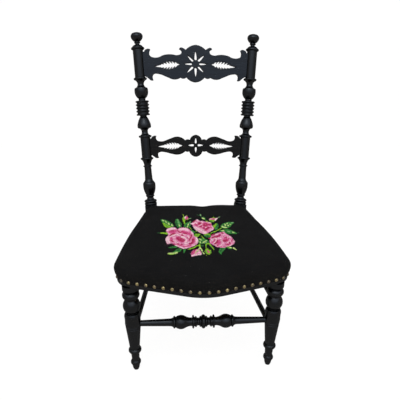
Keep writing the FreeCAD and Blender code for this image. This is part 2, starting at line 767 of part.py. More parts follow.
def pierced_rail(name, outline, leaf, petal, petals, where):
    body = doc.addObject("PartDesign::Body", name)
    sketch = sketch_on(body, "XZ_Plane", name + "_outline")
    trace(sketch, outline[0], outline[1:])
    board = body.newObject("PartDesign::Pad", name + "_board")
    board.Profile = sketch
    board.SideType = "Symmetric"
    bind(board, Length=d.back_rail)
    body.Tip = board
    doc.recompute([body])
    leaf_cut, leaf_sketch = pierce(body, name + "_leaf", leaf, d.back_rail)
    doc.recompute([body])
    whole = body.newObject("PartDesign::Mirrored", name + "_whole")
    whole.Originals = [board, leaf_cut]
    whole.MirrorPlane = (plane(body, "YZ_Plane"), [""])
    body.Tip = whole
    doc.recompute([body])
    petal_cut, petal_sketch = pierce(body, name + "_petal", petal, d.back_rail)
    doc.recompute([body])
    flower = body.newObject("PartDesign::PolarPattern", name + "_flower")
    flower.Originals = [petal_cut]
    flower.Axis = (petal_sketch, ["N_Axis"])
    flower.Angle = 360
    flower.Occurrences = petals
    body.Tip = flower
    return place(body, where)


def back_height(station):
    return station * cos(d.post_splay)


def fitted_rail(name, blank, height, tongue_height):
    """Copes the ends of a back rail to the round posts and gives it tenons; returns it and a mortise."""
    post_round = rod(
        name + "_cope",
        POST + " * " + frame(0, 0, d.block_rise),
        d.rail_block_dia / 2 + d.fit,
        post_top - d.block_rise,
    )
    reach_x = d.knee_half + height * tan(d.post_splay) - d.rail_block_dia / 2
    overlap = d.rail_block_dia / 4
    sizes = (d.back_tongue + overlap, d.back_tongue_width, tongue_height)
    middle_x = -(reach_x + (d.back_tongue - overlap) / 2)
    tongue = box(name + "_tongue", BACK, sizes, (middle_x, 0, height))
    grown = [size + d.fit * 2 for size in sizes]
    mortise = box(name + "_mortise", BACK, grown, (middle_x, 0, height))
    shaped = cut(name + "_shaped", blank, *both(post_round))
    return fuse(name, shaped, *both(tongue)), mortise


star_height = back_height(high_block_middle) + d.star_offset
E = d.knee_half + star_height * tan(d.post_splay) - d.rail_block_dia / 2
ear = d.ear_reach
crest_outline = [
    (0, d.crest_top),
    (d.crest_notch * 0.52, d.crest_top * 0.925, d.crest_notch, d.crest_top * 0.735),
    (d.crest_notch * 1.19, d.scroll_rise * 0.953, d.crest_notch + (d.scroll_tip - d.crest_notch) * 0.6, d.scroll_rise),
    (d.scroll_tip * 0.945, d.scroll_rise * 0.985, d.scroll_tip, d.scroll_rise * 0.925),
    (d.scroll_tip * 0.853, d.scroll_rise * 0.73, d.scroll_tip, d.waist_rise * 1.56),
    (d.scroll_tip * 1.13, d.waist_rise * 1.47, d.scroll_tip * 1.3, d.waist_rise * 1.535),
    (d.leaf_start * 1.66, d.waist_rise * 1.61, d.leaf_start * 2.1, d.waist_rise * 1.37),
    (E - ear * 1.7, d.waist_rise, E - ear * 1.19, d.waist_rise * 1.13),
    (E - ear * 0.9, d.waist_rise * 1.5, E - ear * 0.85, d.ear_rise * 0.75),
    (E - ear * 0.87, d.ear_rise * 0.88, E - ear, d.ear_rise * 0.985),
    (E - ear * 0.73, d.ear_rise * 1.02, E - ear * 0.45, d.ear_rise * 0.99),
    (E - ear * 0.2, d.ear_rise * 0.93, E - ear * 0.06, d.ear_rise * 0.8),
    (E + ear / 2, d.ear_rise * 0.8),
    (E + ear / 2, -d.ear_drop * 0.74),
    (E - ear * 0.06, -d.ear_drop * 0.74),
    (E - ear * 0.52, -d.ear_drop * 0.83, E - ear * 0.85, -d.ear_drop * 0.945),
    (E - ear * 1.14, -d.ear_drop, E - ear * 1.45, -d.ear_drop * 0.985),
    (E - ear * 1.36, -d.ear_drop * 0.87, E - ear * 1.34, -d.ear_drop * 0.74),
    (E - ear * 1.5, -d.waist_drop * 1.08, E - ear * 1.95, -d.waist_drop),
    (E - ear * 2.5, -d.waist_drop * 1.05, E - ear * 3.2, -d.waist_drop * 1.22),
    (d.leaf_start * 1.66, -d.waist_drop * 1.44),
    (d.leaf_start * 1.26, -d.waist_drop * 1.585, d.leaf_start * 0.95, -d.waist_drop * 1.4),
    (d.crest_notch * 1.22, -d.waist_drop * 1.5, d.crest_notch * 0.93, -d.waist_drop * 1.37),
    (d.crest_notch * 0.48, -d.crest_bottom * 0.93, 0, -d.crest_bottom),
]
crest_leaf = leaf_outline(d.leaf_start, d.leaf_end, -d.leaf_sink * 0.13, d.leaf_sink, d.leaf_half)
crest_petal = petal_outline(d.petal_root, d.petal_tip, d.petal_width)
crest_where = BACK + " * " + frame(0, 0, star_height)
crest_blank = pierced_rail("crest_blank", crest_outline, crest_leaf, crest_petal, 8, crest_where)
crest_rail, crest_mortise = fitted_rail(
    "crest_rail", crest_blank, back_height(high_block_middle), d.back_tongue_height
)

cross_height = back_height(low_block_middle) + d.cross_offset
E = d.knee_half + cross_height * tan(d.post_splay) - d.rail_block_dia / 2
ear = d.low_ear_reach
wide = d.medallion_half
lobe = d.low_leaf_start * 1.25
low_outline = [
    (0, d.low_top),
    (wide * 0.62, d.low_top * 0.85, wide, d.low_top * 0.505),
    (wide * 1.45, d.low_top * 0.57, wide * 1.76, d.low_top * 0.475),
    (lobe * 0.92, d.lobe_rise * 0.985, lobe * 1.28, d.lobe_rise * 0.935),
    (E - ear * 2.6, d.lobe_rise * 0.61),
    (E - ear * 1.75, d.lobe_rise * 0.46, E - ear * 1.22, d.lobe_rise * 0.52),
    (E - ear * 0.93, d.lobe_rise * 0.7, E - ear * 0.87, d.low_ear_rise * 0.82),
    (E - ear * 0.9, d.low_ear_rise * 0.92, E - ear, d.low_ear_rise),
    (E - ear * 0.72, d.low_ear_rise * 1.02, E - ear * 0.42, d.low_ear_rise * 0.975),
    (E - ear * 0.2, d.low_ear_rise * 0.86, E - ear * 0.06, d.low_ear_rise * 0.72),
    (E + ear / 2, d.low_ear_rise * 0.72),
    (E + ear / 2, -d.low_ear_drop * 0.72),
    (E - ear * 0.06, -d.low_ear_drop * 0.72),
    (E - ear * 0.5, -d.low_ear_drop * 0.87, E - ear * 0.74, -d.low_ear_drop * 0.955),
    (E - ear * 1.06, -d.low_ear_drop, E - ear * 1.36, -d.low_ear_drop * 0.955),
    (E - ear * 1.2, -d.low_ear_drop * 0.79, E - ear * 1.24, -d.low_ear_drop * 0.62),
    (E - ear * 1.54, -d.lobe_drop * 0.73, E - ear * 2.1, -d.lobe_drop * 0.71),
    (E - ear * 2.7, -d.lobe_drop * 0.775, E - ear * 3.3, -d.lobe_drop * 0.89),
    (lobe * 1.26, -d.lobe_drop * 0.965),
    (lobe * 0.95, -d.lobe_drop * 0.985, wide * 1.75, -d.lobe_drop * 0.64),
    (wide * 1.48, -d.lobe_drop * 0.7, wide * 1.1, -d.lobe_drop * 0.66),
    (wide * 0.64, -d.low_bottom * 0.88, 0, -d.low_bottom),
]
low_leaf = leaf_outline(d.low_leaf_start, d.low_leaf_end, -d.leaf_sink * 0.14, d.leaf_sink * 0.4, d.low_leaf_half)
low_petal = petal_outline(d.cross_root, d.cross_tip, d.cross_width)
low_where = BACK + " * " + frame(0, 0, cross_height)
low_blank = pierced_rail("low_blank", low_outline, low_leaf, low_petal, 4, low_where)
lower_back_rail, low_mortise = fitted_rail(
    "lower_back_rail", low_blank, back_height(low_block_middle), d.low_tongue_height
)

# Plan of the seat: a shallow point to the front, rounded corners, sides that narrow to the rear;
# front, corners and sides run smoothly into each other


def curve(a, b, full):
    """An arc step from a to b that swells to the right of its chord."""
    dx = b[0] - a[0]
    dy = b[1] - a[1]
    return (a[0] + b[0]) / 2 + dy * full, (a[1] + b[1]) / 2 - dx * full, b[0], b[1]


bow = (d.bow_half, -d.seat_front + d.bow_half * tan(d.front_angle / 2))
turn_in = (corner_start, bow[1] + (corner_start - d.bow_half) * tan(d.front_angle))
turn_out = (d.seat_half, turn_in[1] + d.corner_depth)
rear = (rear_half, seat_rear)
corner_chord = atan(d.corner_depth / d.corner_width)
corner_full = tan((corner_chord - d.front_angle) / 2) / 2
side_chord = atan((d.seat_half - rear_half) / (seat_rear - turn_out[1])) + 90
side_full = tan((side_chord - corner_chord * 2 + d.front_angle) / 2) / 2
right = [bow, turn_in, turn_out, rear]
left = [(-x, y) for x, y in right]
seat_plan = doc.addObject("Sketcher::SketchObject", "seat_plan")
trace(seat_plan, left[0], [
    (0, -d.seat_front) + right[0],
    right[1],
    curve(right[1], right[2], corner_full),
    curve(right[2], right[3], side_full),
    left[3],
    curve(left[3], left[2], side_full),
    curve(left[2], left[1], corner_full),
])
doc.recompute([seat_plan])


def around(name, amount):
    """The plan widened all round."""
    return bind(joined("Part::Offset2D", name, Source=seat_plan, Join="Intersection"), Value=amount)


def slab(name, plan, low, high):
    piece = joined("Part::Extrusion", name, Base=plan, DirMode="Custom", Dir=FreeCAD.Vector(0, 0, 1), Solid=True)
    bind(piece, LengthFwd=high - low)
    return place(piece, frame(0, 0, low))


def rounded(name, base, size, pick):
    """Rounds the edges of a solid that a test picks."""
    body = doc.addObject("PartDesign::Body", name)
    body.BaseFeature = base
    doc.recompute([body])
    first = body.Group[0]
    names = ["Edge%d" % i for i, edge in enumerate(first.Shape.Edges, 1) if pick(edge, first.Shape)]
    fillet = body.newObject("PartDesign::Fillet", name + "_round")
    fillet.Base = (first, names)
    bind(fillet, Radius=size)
    body.Tip = fillet
    return body


def level(edge, solid):
    """Edges that lie level."""
    return edge.BoundBox.ZLength < 1e-6


def crowned(edge, solid):
    """Edges of the crown of a cushion."""
    crowns = [face for face in solid.Faces if isinstance(face.Surface, Part.Sphere)]
    return any(edge.isSame(other) for face in crowns for other in face.Edges)


# Seat frame: a board with a moulded lip, divided into front, side and rear rails
rail_top = seat_bottom + d.rail_height
lip_top = seat_bottom + d.lip * 2
face_plan = around("face_plan", d.slack)
lip_low_plan = around("lip_low_plan", d.slack + d.rebate)
lip_high_plan = around("lip_high_plan", d.slack + d.rebate - d.lip_step)
lip_low = rounded("lip_low", slab("lip_low_slab", lip_low_plan, seat_bottom, lip_top - d.lip), d.lip_round, level)
lip_high = rounded("lip_high", slab("lip_high_slab", lip_high_plan, lip_top - d.lip, lip_top), d.lip_round, level)
seat_board = fuse("seat_board", slab("rail_slab", face_plan, seat_bottom, rail_top), lip_low, lip_high)

block_clear = [size + d.fit * 2 for size in block_size]
block_room = box("block_room", POST, block_clear, (0, 0, block_middle))
half_height = seat_bottom + d.rail_height / 2


def zone(name, corners):
    sketch = doc.addObject("Sketcher::SketchObject", name + "_plan")
    trace(sketch, corners[0], corners[1:])
    return slab(name, sketch, seat_bottom - d.lip, rail_top + d.lip)


far = d.seat_front * 1.2
front_zone = zone("front_zone", [(-d.front_joint, -far), (d.front_joint, -far),
                                 (d.front_joint, -front_rail_inner), (-d.front_joint, -front_rail_inner)])
side_inner = d.seat_half - d.side_rail_width
post_inner = d.knee_half - d.seat_block / 2
side_end = d.knee_back - d.seat_block / 2
side_zone = zone("side_zone", [(-d.front_joint - d.fit, -far), (-far, -far), (-far, side_end),
                               (-post_inner - d.fit, side_end), (-side_inner, -corner_inner),
                               (-d.front_joint - d.fit, -corner_inner)])
rear_front = seat_rear + d.slack - d.rear_rail
rear_zone = zone("rear_zone", [(-post_inner, rear_front), (post_inner, rear_front),
                               (post_inner, seat_rear * 2), (-post_inner, seat_rear * 2)])

joint_front = -d.seat_front + d.bow_half * tan(d.front_angle / 2) + (d.front_joint - d.bow_half) * tan(d.front_angle)
tongue_y = (joint_front - front_rail_inner) / 2
tongue_sizes = (d.tongue_length + d.tongue, d.tongue_width, d.tongue)
tongue_at = (-(d.front_joint + (d.tongue_length - d.tongue) / 2), tongue_y, half_height)
front_tongue = box("front_tongue", ORIGIN, tongue_sizes, tongue_at)
front_mortise = box("front_mortise", ORIGIN, [size + d.fit * 2 for size in tongue_sizes], tongue_at)

rear_sizes = (d.post_tongue * 2, d.post_tongue_width, d.tongue)
rear_at = (-post_inner, rear_front + d.rear_rail * 0.78, half_height)
rear_tongue = box("rear_tongue", ORIGIN, rear_sizes, rear_at)
rear_mortise = box("rear_mortise", ORIGIN, [size + d.fit * 2 for size in rear_sizes], rear_at)

side_sizes = (d.post_tongue_width, d.post_tongue * 2, d.tongue)
side_at = (-(d.knee_half + d.seat_block * 0.02), side_end - d.fit, half_height)
side_tongue = box("side_tongue", ORIGIN, side_sizes, side_at)
side_mortise = box("side_mortise", ORIGIN, [size + d.fit * 2 for size in side_sizes], side_at)

back_post_left = cut("back_post_left", post_blank, below_floor, spigot_hole, low_hole, high_hole, rear_hole,
                     crest_mortise, low_mortise, rear_mortise, side_mortise)
back_post_right = mirror("back_post_right", back_post_left)

# Cover nails: one nail, set along the lower edge of the cover
cover_plan = around("cover_plan", d.slack + d.cloth)
nail_head = turned("nail_head", [(0, 0), (d.nail_dia / 2, 0), cap(0, d.nail_dome, d.nail_dia / 2)], ORIGIN)
nail_shank = box("nail_shank", ORIGIN, (d.nail_wire, d.nail_wire, d.nail_shank + d.nail_dome / 2),
                 (0, 0, (d.nail_dome / 2 - d.nail_shank) / 2))
nail = fuse("nail", nail_head, nail_shank)
hole_side = d.nail_wire + d.fit * 2
nail_hole = box("nail_hole", ORIGIN, (hole_side, hole_side, d.nail_shank * 2), (0, 0, 0))
doc.recompute([nail, nail_hole, cover_plan])


def row(path, shift):
    """Points at the nails' pitch along a path from left to right, with the direction of the path at each."""
    pitch = number(d.nail_pitch)
    fine = path.discretize(Number=4 * round(path.Length) + 1)
    if fine[0].x > fine[-1].x:
        fine.reverse()
    spacing = path.Length / (len(fine) - 1)
    at = (path.Length / 2 + number(shift)) % pitch
    while at < path.Length:
        i = min(max(round(at / spacing), 1), len(fine) - 2)
        yield fine[i], (fine[i + 1] - fine[i - 1]).normalize()
        at += pitch


def nail_places():
    """Placements along the plan of the cover, from post to post round the front, then across the rear."""
    edges = Part.__sortEdges__(cover_plan.Shape.Edges)
    middle = cover_plan.Shape.BoundBox.Center.y
    rear_edges = [edge for edge in edges if edge.BoundBox.YMin > middle]
    front_wire = Part.Wire(Part.__sortEdges__([edge for edge in edges if edge.BoundBox.YMin <= middle]))
    stop = number(side_end - d.nail_dia)
    rear_stop = number(post_inner - d.nail_dia)
    spots = []
    for path, shift, keep in (
        (front_wire, d.nail_shift, lambda spot: spot.y < stop),
        (rear_edges[0], 0, lambda spot: abs(spot.x) < rear_stop),
    ):
        for here, along in row(path, shift):
            if keep(here):
                outward = along.cross(FreeCAD.Vector(0, 0, 1))
                if outward.dot(here) < 0:
                    outward = -outward
                turn = FreeCAD.Rotation(along, FreeCAD.Vector(0, 0, 1), outward, "ZXY")
                spots.append(FreeCAD.Placement(FreeCAD.Vector(here.x, here.y, number(nail_height)), turn))
    return spots


def spread(name, source, spots):
    copies = []
    for spot in spots:
        copy = source.Shape.copy()
        copy.Placement = spot * source.Shape.Placement
        copies.append(copy)
    piece = doc.addObject("Part::Feature", name)
    piece.Shape = Part.Compound(copies)
    return piece


spots = nail_places()
cover_nails = spread("cover_nails", nail, spots)
nail_holes = spread("nail_holes", nail_hole, spots)

seat_rail_front = cut("seat_rail_front", fuse("front_blank", common("front_part", seat_board, front_zone),
                                              *both(front_tongue)), nail_holes)
side_part = cut("side_part", common("side_blank", seat_board, side_zone), front_mortise, leg_mortise, block_room)
side_left, side_right = both(fuse("side_joined", side_part, side_tongue))
seat_rail_left = cut("seat_rail_left", side_left, nail_holes)
seat_rail_right = cut("seat_rail_right", side_right, nail_holes)
rear_part = cut("rear_part", common("rear_blank", seat_board, rear_zone), *both(block_room))
seat_rail_rear = cut("seat_rail_rear", fuse("rear_joined", rear_part, *both(rear_tongue)), nail_holes)

# Webbing: straps from front to rear, then straps from side to side over them
straps = []
strap_front = -front_rail_inner - d.web_hold
strap_rear = rear_front + d.web_hold * 0.8
for k in (-1.5, -0.5, 0.5, 1.5):
    straps.append(box("strap_long_%d" % len(straps), ORIGIN, (d.web_width, strap_rear - strap_front, d.web),
                      (d.web_pitch * k, (strap_front + strap_rear) / 2, rail_top + d.web / 2)))
webbing_lengthwise = joined("Part::Compound", "webbing_lengthwise", Links=straps)
cross_straps = []
slope = (side_inner - post_inner) / (corner_inner + d.knee_back)
for k in (0, 1, 2, 3):
    y = d.web_cross_first - corner_inner + d.web_cross_pitch * k
    half_length = side_inner - (y + corner_inner) * slope + d.web_hold
    cross_straps.append(box("strap_cross_%d" % k, ORIGIN, (half_length * 2, d.web_width, d.web),
                            (0, y, rail_top + d.web * 1.5)))
webbing_crosswise = joined("Part::Compound", "webbing_crosswise", Links=cross_straps)

# Hessian, stuffing and cover; all are notched round the posts
web_top = rail_top + d.web * 2
pad_bottom = web_top + d.hessian
notch_size = (d.seat_block + d.cloth, d.seat_block + d.cloth, block_size[2] * 2)
notch = box("notch", POST, notch_size, (0, 0, block_middle))
notches = both(notch)
hessian = cut("hessian", slab("hessian_sheet", seat_plan, web_top, pad_bottom), *notches)


def cushion(name, plan, low, shrink):
    """A crowned slab with a rounded upper edge."""
    ball = bind(doc.addObject("Part::Sphere", name + "_crown"), Radius=d.crown_radius - shrink)
    place(ball, frame(0, -d.crown_middle, crown_top - d.crown_radius))
    solid = common(name + "_solid", slab(name + "_slab", plan, low, crown_top + d.cloth), ball)
    return rounded(name, solid, d.edge_round - shrink, crowned)


stuffing_whole = cushion("stuffing_whole", seat_plan, seat_bottom, d.cloth + d.slack)
below_pad = slab("below_pad", cover_plan, seat_bottom - d.cloth, pad_bottom)
stuffing = cut("stuffing", cut("stuffing_pad", stuffing_whole, below_pad), *notches)
cover_outer = cushion("cover_outer", cover_plan, lip_top + d.fit, 0)
cover_inner = cushion("cover_inner", face_plan, seat_bottom, d.cloth)
cover_shell = cut("cover_shell", cover_outer, cover_inner)
seat_cover = cut("seat_cover", cut("cover_notched", cover_shell, *notches), nail_holes)

# The pieces, checked and written
NODES = [
    back_post_left, back_post_right, finial_left, finial_right, crest_rail, lower_back_rail,
    front_leg_left, front_leg_right, front_stretcher, rear_stretcher,
    side_stretcher_lower_left, side_stretcher_lower_right, side_stretcher_upper_left, side_stretcher_upper_right,
    seat_rail_front, seat_rail_left, seat_rail_right, seat_rail_rear,
    webbing_lengthwise, webbing_crosswise, hessian, stuffing, seat_cover, cover_nails,
]
doc.recompute()
for piece in doc.Objects:
    if "Invalid" in piece.State or "Error" in piece.State:
        raise RuntimeError("%s didn't build: %s" % (piece.Name, piece.State))
os.makedirs("parts", exist_ok=True)
for piece in NODES:
    piece.Label = piece.Name
    if piece.Shape.isNull() or not piece.Shape.isValid():
        raise RuntimeError("%s has no valid shape" % piece.Name)
    piece.Shape.exportStep("parts/%s.step" % piece.Name)
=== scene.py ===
import math
import random

import bpy
import numpy as np
from mathutils import Matrix, Vector, noise


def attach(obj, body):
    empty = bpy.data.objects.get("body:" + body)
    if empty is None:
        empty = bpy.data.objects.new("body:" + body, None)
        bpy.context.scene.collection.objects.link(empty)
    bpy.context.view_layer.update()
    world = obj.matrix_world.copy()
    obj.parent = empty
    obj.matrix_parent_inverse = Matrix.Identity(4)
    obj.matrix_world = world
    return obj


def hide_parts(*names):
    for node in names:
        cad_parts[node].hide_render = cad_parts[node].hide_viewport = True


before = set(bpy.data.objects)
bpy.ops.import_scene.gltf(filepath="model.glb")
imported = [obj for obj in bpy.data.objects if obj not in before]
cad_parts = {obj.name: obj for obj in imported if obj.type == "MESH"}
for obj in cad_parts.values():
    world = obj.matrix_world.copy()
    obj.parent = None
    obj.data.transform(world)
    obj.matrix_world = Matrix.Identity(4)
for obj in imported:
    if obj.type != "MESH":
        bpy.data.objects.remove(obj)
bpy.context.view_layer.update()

# Looks of a low nursing chair: ebonised wood, a black needlework cover with roses, brass nails and a webbed
# underside. Shapes are worked out in millimetres, in the frame of the solids.
MM = 0.001
random.seed(7)

# Plan of the seat, as in the solids
SEAT = dict(
    front=290.7, rear=169.2, half=215.2, rear_half=156.4,
    angle=17.4, bow=44.9, corner_width=38.3, corner_depth=59.5,
)
SEAT_MIDDLE = (0.0, -60.0)
# Its rear corners are eased behind a line, over a distance, in a number of rounds
EASE_FROM, EASE_OVER, EASE_ROUNDS = 105, 25, 26

# Cushion: crown, cloth outside the plan, rounded edge, and heights from the hem upwards
CROWN_TOP, CROWN_RADIUS, CROWN_Y = 328.0, 1700.0, -40.0
COVER_OUT, EDGE = 2.4, 21.0
HEM, NAIL_Z, RAIL_TOP, PAD_BOTTOM = 268.1, 272.1, 287.1, 289.6
PAD_LOW = PAD_BOTTOM + 0.2
# Its rear is straighter across and has a dip; its lumps have a height, a size and a seed
REAR_FROM, REAR_OVER = 30, 110
DIP, DIP_X, DIP_WIDTH = 4.0, 20, 24
LUMPS = ((0.9, 55, 3.1), (0.35, 21, 8.7))
# Its side is set in, swells, most at the front corners, and puckers between the nails
SET_IN = 0.5
BELLY, CORNER_BELLY, BELLY_RISE = 1.2, 3.6, 16
PUCKER, PUCKER_WIDTH, PUCKER_HEIGHT = 0.9, 6.5, 6
# Points round the cover and the pad, rows up the side and the edge, and cells that group the nails' points
COVER_POINTS, PAD_POINTS = 420, 240
SIDE_ROWS, EDGE_ROWS = 7, 9
NAIL_CELL = 9

# Needlework: pitch of the stitches, and the part of the seat with the bouquet
STITCH = 2.1
CANVAS_X, CANVAS_Y = (-124, 110), (-215, 66)

# Posts: square block, knee, lean and splay, and reach of the notches for them, up and down
BLOCK, KNEE = 37.0, (148.3, 166.1, 285.0)
LEAN, SPLAY = 11.08, 3.653
NOTCH_REACH = 90

# Webbing: width, spacing, first cross strap, ends of the long straps, and height above the rails
STRAP_WIDTH, LONG_PITCH, CROSS_PITCH, CROSS_FIRST = 46.0, 57, 65.55, -139.65
LONG_FRONT, LONG_REAR = -248.0, 164.2
STRAP_REST = 0.95
# Steps along a strap, and its rise and fall where it crosses another
STRAP_STEP = 6
WEAVE, WEAVE_REACH = 0.46, 17
# Inner edge of the side rails, at the front and the rear, and hold of a cross strap on them
RAIL_FRONT, RAIL_REAR, HOLD = (171.2, -178), (129.8, 166.1), 22

# Hessian: within the plan, its middle below the pad, and its rings of points
HESSIAN_INSET, HESSIAN_BELOW, HESSIAN_RINGS = 1.5, 0.5, 14

# Back rails: half the depth of the saw cuts
SAW_DEPTH = 9.0


# Node helpers


def material_tree(name):
    material = bpy.data.materials.new(name)
    material.use_nodes = True
    return material, material.node_tree, material.node_tree.nodes["Principled BSDF"]


def put(tree, kind, inputs=None, **settings):
    """Adds a node; an input is a value or another node's output."""
    node = tree.nodes.new("ShaderNode" + kind)
    for key, value in settings.items():
        setattr(node, key, value)
    for key, value in (inputs or {}).items():
        if isinstance(value, bpy.types.NodeSocket):
            tree.links.new(value, node.inputs[key])
        else:
            node.inputs[key].default_value = value
    return node


def math_node(tree, operation, a, b=0.0):
    return put(tree, "Math", {0: a, 1: b}, operation=operation).outputs[0]


def plus(tree, a, b):
    return math_node(tree, "ADD", a, b)


def times(tree, a, b):
    return math_node(tree, "MULTIPLY", a, b)


def spread(tree, value, low, high, to_low, to_high):
    return put(tree, "MapRange", {0: value, 1: low, 2: high, 3: to_low, 4: to_high}).outputs[0]


def mix(tree, factor, a, b):
    return put(tree, "Mix", {0: factor, 6: a, 7: b}, data_type="RGBA").outputs[2]


def cloud(tree, vector, scale, detail=3.0):
    return put(tree, "TexNoise", {"Vector": vector, "Scale": scale, "Detail": detail}).outputs["Fac"]


def parts(tree, vector):
    """The three numbers of a vector or colour."""
    return put(tree, "SeparateXYZ", {0: vector}).outputs


def relief(tree, height, strength, distance, **inputs):
    inputs.update(Strength=strength, Distance=distance, Height=height)
    return put(tree, "Bump", inputs).outputs[0]


def linked(tree, bsdf, **sockets):
    for name, value in sockets.items():
        tree.links.new(value, bsdf.inputs[name.replace("_", " ")])


def fixed(bsdf, **sockets):
    for name, value in sockets.items():
        bsdf.inputs[name.replace("_", " ")].default_value = value


# Materials

DEEP_BLACK = ((0.0002, 0.0002, 0.0003, 1), (0.0010, 0.0010, 0.0011, 1))
# A blue black that stands in for the sky reflected on the crest rail: a painted reflection.
PAINTED_SKY_BLUE_BLACK = ((0.0014, 0.0020, 0.0034, 1), (0.0030, 0.0042, 0.0062, 1))
BROWN_BLACK = ((0.0026, 0.0022, 0.0016, 1), (0.0052, 0.0044, 0.0034, 1))


def ebonised(name, stretch, polish=0.092, dye_and_sky_tint=DEEP_BLACK):
    """Black polish on fine-grained wood, rubbed a little brown on its edges."""
    material, tree, bsdf = material_tree(name)
    here = put(tree, "TexCoord").outputs["Object"]
    along = put(tree, "Mapping", {"Vector": here, "Scale": stretch}).outputs[0]
    grain = cloud(tree, along, 1.0, 5.0)
    rounded = put(tree, "Bevel", {"Radius": 0.0011}, samples=4).outputs[0]
    flat = put(tree, "NewGeometry").outputs["Normal"]
    turn = put(tree, "VectorMath", {0: rounded, 1: flat}, operation="DOT_PRODUCT").outputs["Value"]
    edge = spread(tree, turn, 0.99, 0.86, 0.0, 1.0)
    rubbed = times(tree, edge, spread(tree, cloud(tree, here, 60.0), 0.52, 0.72, 0.0, 0.75))
    # The base black is the wood's dye; on the crest rail it is a blue black, a painted sky reflection.
    black = mix(tree, spread(tree, grain, 0.3, 0.7, 0.0, 1.0), *dye_and_sky_tint)
    colour = mix(tree, rubbed, black, (0.018, 0.0135, 0.009, 1))
    bump = relief(tree, grain, 0.12, 0.0004, Normal=rounded)
    linked(tree, bsdf, Base_Color=colour, Normal=bump, Coat_Normal=bump)
    fixed(bsdf, Roughness=0.8, Specular_IOR_Level=0.0, Coat_Weight=polish, Coat_Roughness=0.27, Coat_IOR=2.2)
    return material


def needlework(name):
    """Black wool in rows of slanted stitches, with a little lint."""
    material, tree, bsdf = material_tree(name)
    place = put(tree, "UVMap", uv_map="cut").outputs[0]
    apart = parts(tree, place)
    turns = 2 * math.pi / (STITCH * MM)
    u = times(tree, apart[0], turns)
    v = times(tree, apart[1], turns)
    slant = math_node(tree, "SINE", math_node(tree, "SUBTRACT", u, times(tree, v, 0.5)))
    rows = math_node(tree, "SINE", v)
    height = plus(tree, times(tree, slant, 0.35), times(tree, rows, 0.65))
    fuzz = cloud(tree, place, 900.0, 2.0)
    worn = cloud(tree, place, 14.0)
    # The cloth's tone is partly painted shade, darker in the hollows between the stitches, and partly random
    # wear and unevenness.
    tone = plus(tree, spread(tree, height, -1.0, 1.0, 0.0, 0.3), spread(tree, worn, 0.3, 0.7, 0.0, 0.25))
    tone = plus(tree, tone, spread(tree, cloud(tree, place, 340.0, 2.0), 0.35, 0.65, 0.0, 0.45))
    black = mix(tree, tone, (0.0020, 0.0018, 0.0016, 1), (0.0066, 0.0059, 0.0052, 1))
    cell = put(tree, "TexVoronoi", {"Vector": place, "Scale": 150.0})
    chosen = math_node(tree, "GREATER_THAN", parts(tree, cell.outputs["Color"])[0], 0.80)
    lint = times(tree, chosen, spread(tree, cell.outputs["Distance"], 0.05, 0.11, 1.0, 0.0))
    colour = mix(tree, times(tree, lint, 0.6), black, (0.11, 0.10, 0.088, 1))
    bump = relief(tree, plus(tree, height, fuzz), 0.5, 0.0004)
    linked(tree, bsdf, Base_Color=colour, Normal=bump)
    fixed(bsdf, Roughness=0.92, Specular_IOR_Level=0.03)
    return material


def wool(name, colour):
    """Dyed yarn, a little uneven."""
    material, tree, bsdf = material_tree(name)
    here = put(tree, "TexCoord").outputs["Object"]
    uneven = spread(tree, cloud(tree, here, 260.0, 2.0), 0.35, 0.65, 0.0, 1.0)
    dark = [c * 0.78 for c in colour] + [1]
    light = [min(1.0, c * 1.12) for c in colour] + [1]
    bump = relief(tree, cloud(tree, here, 2400.0, 2.0), 0.35, 0.0003)
    linked(tree, bsdf, Base_Color=mix(tree, uneven, dark, light), Normal=bump)
    fixed(bsdf, Roughness=0.9, Specular_IOR_Level=0.2, Sheen_Weight=0.03)
    return material


def old_brass(name):
    """Antiqued brass, each nail of its own tone, dull with dirt, and with painted shade towards the sides of
    the seat.
    """
    material, tree, bsdf = material_tree(name)
    here = put(tree, "TexCoord").outputs["Object"]
    tone = spread(tree, cloud(tree, here, 113.0, 0.0), 0.4, 0.6, 0.0, 1.0)
    dirt = cloud(tree, here, 420.0, 3.0)
    metal = mix(tree, tone, (0.20, 0.150, 0.062, 1), (0.075, 0.055, 0.033, 1))
    # Painted shade: the nails are darker and greyer towards the sides of the seat, where less light falls on
    # them.
    side_shade = math_node(tree, "ABSOLUTE", parts(tree, here)[0])
    metal = mix(tree, spread(tree, side_shade, 0.165, 0.205, 0.0, 0.8), metal, (0.05, 0.042, 0.031, 1))
    colour = mix(tree, spread(tree, dirt, 0.46, 0.66, 0.0, 0.85), metal, (0.05, 0.037, 0.024, 1))
    gloss = spread(tree, dirt, 0.3, 0.7, 0.24, 0.5)
    linked(tree, bsdf, Base_Color=colour, Roughness=gloss, Normal=relief(tree, dirt, 0.3, 0.0004))
    fixed(bsdf, Metallic=0.9)
    return material


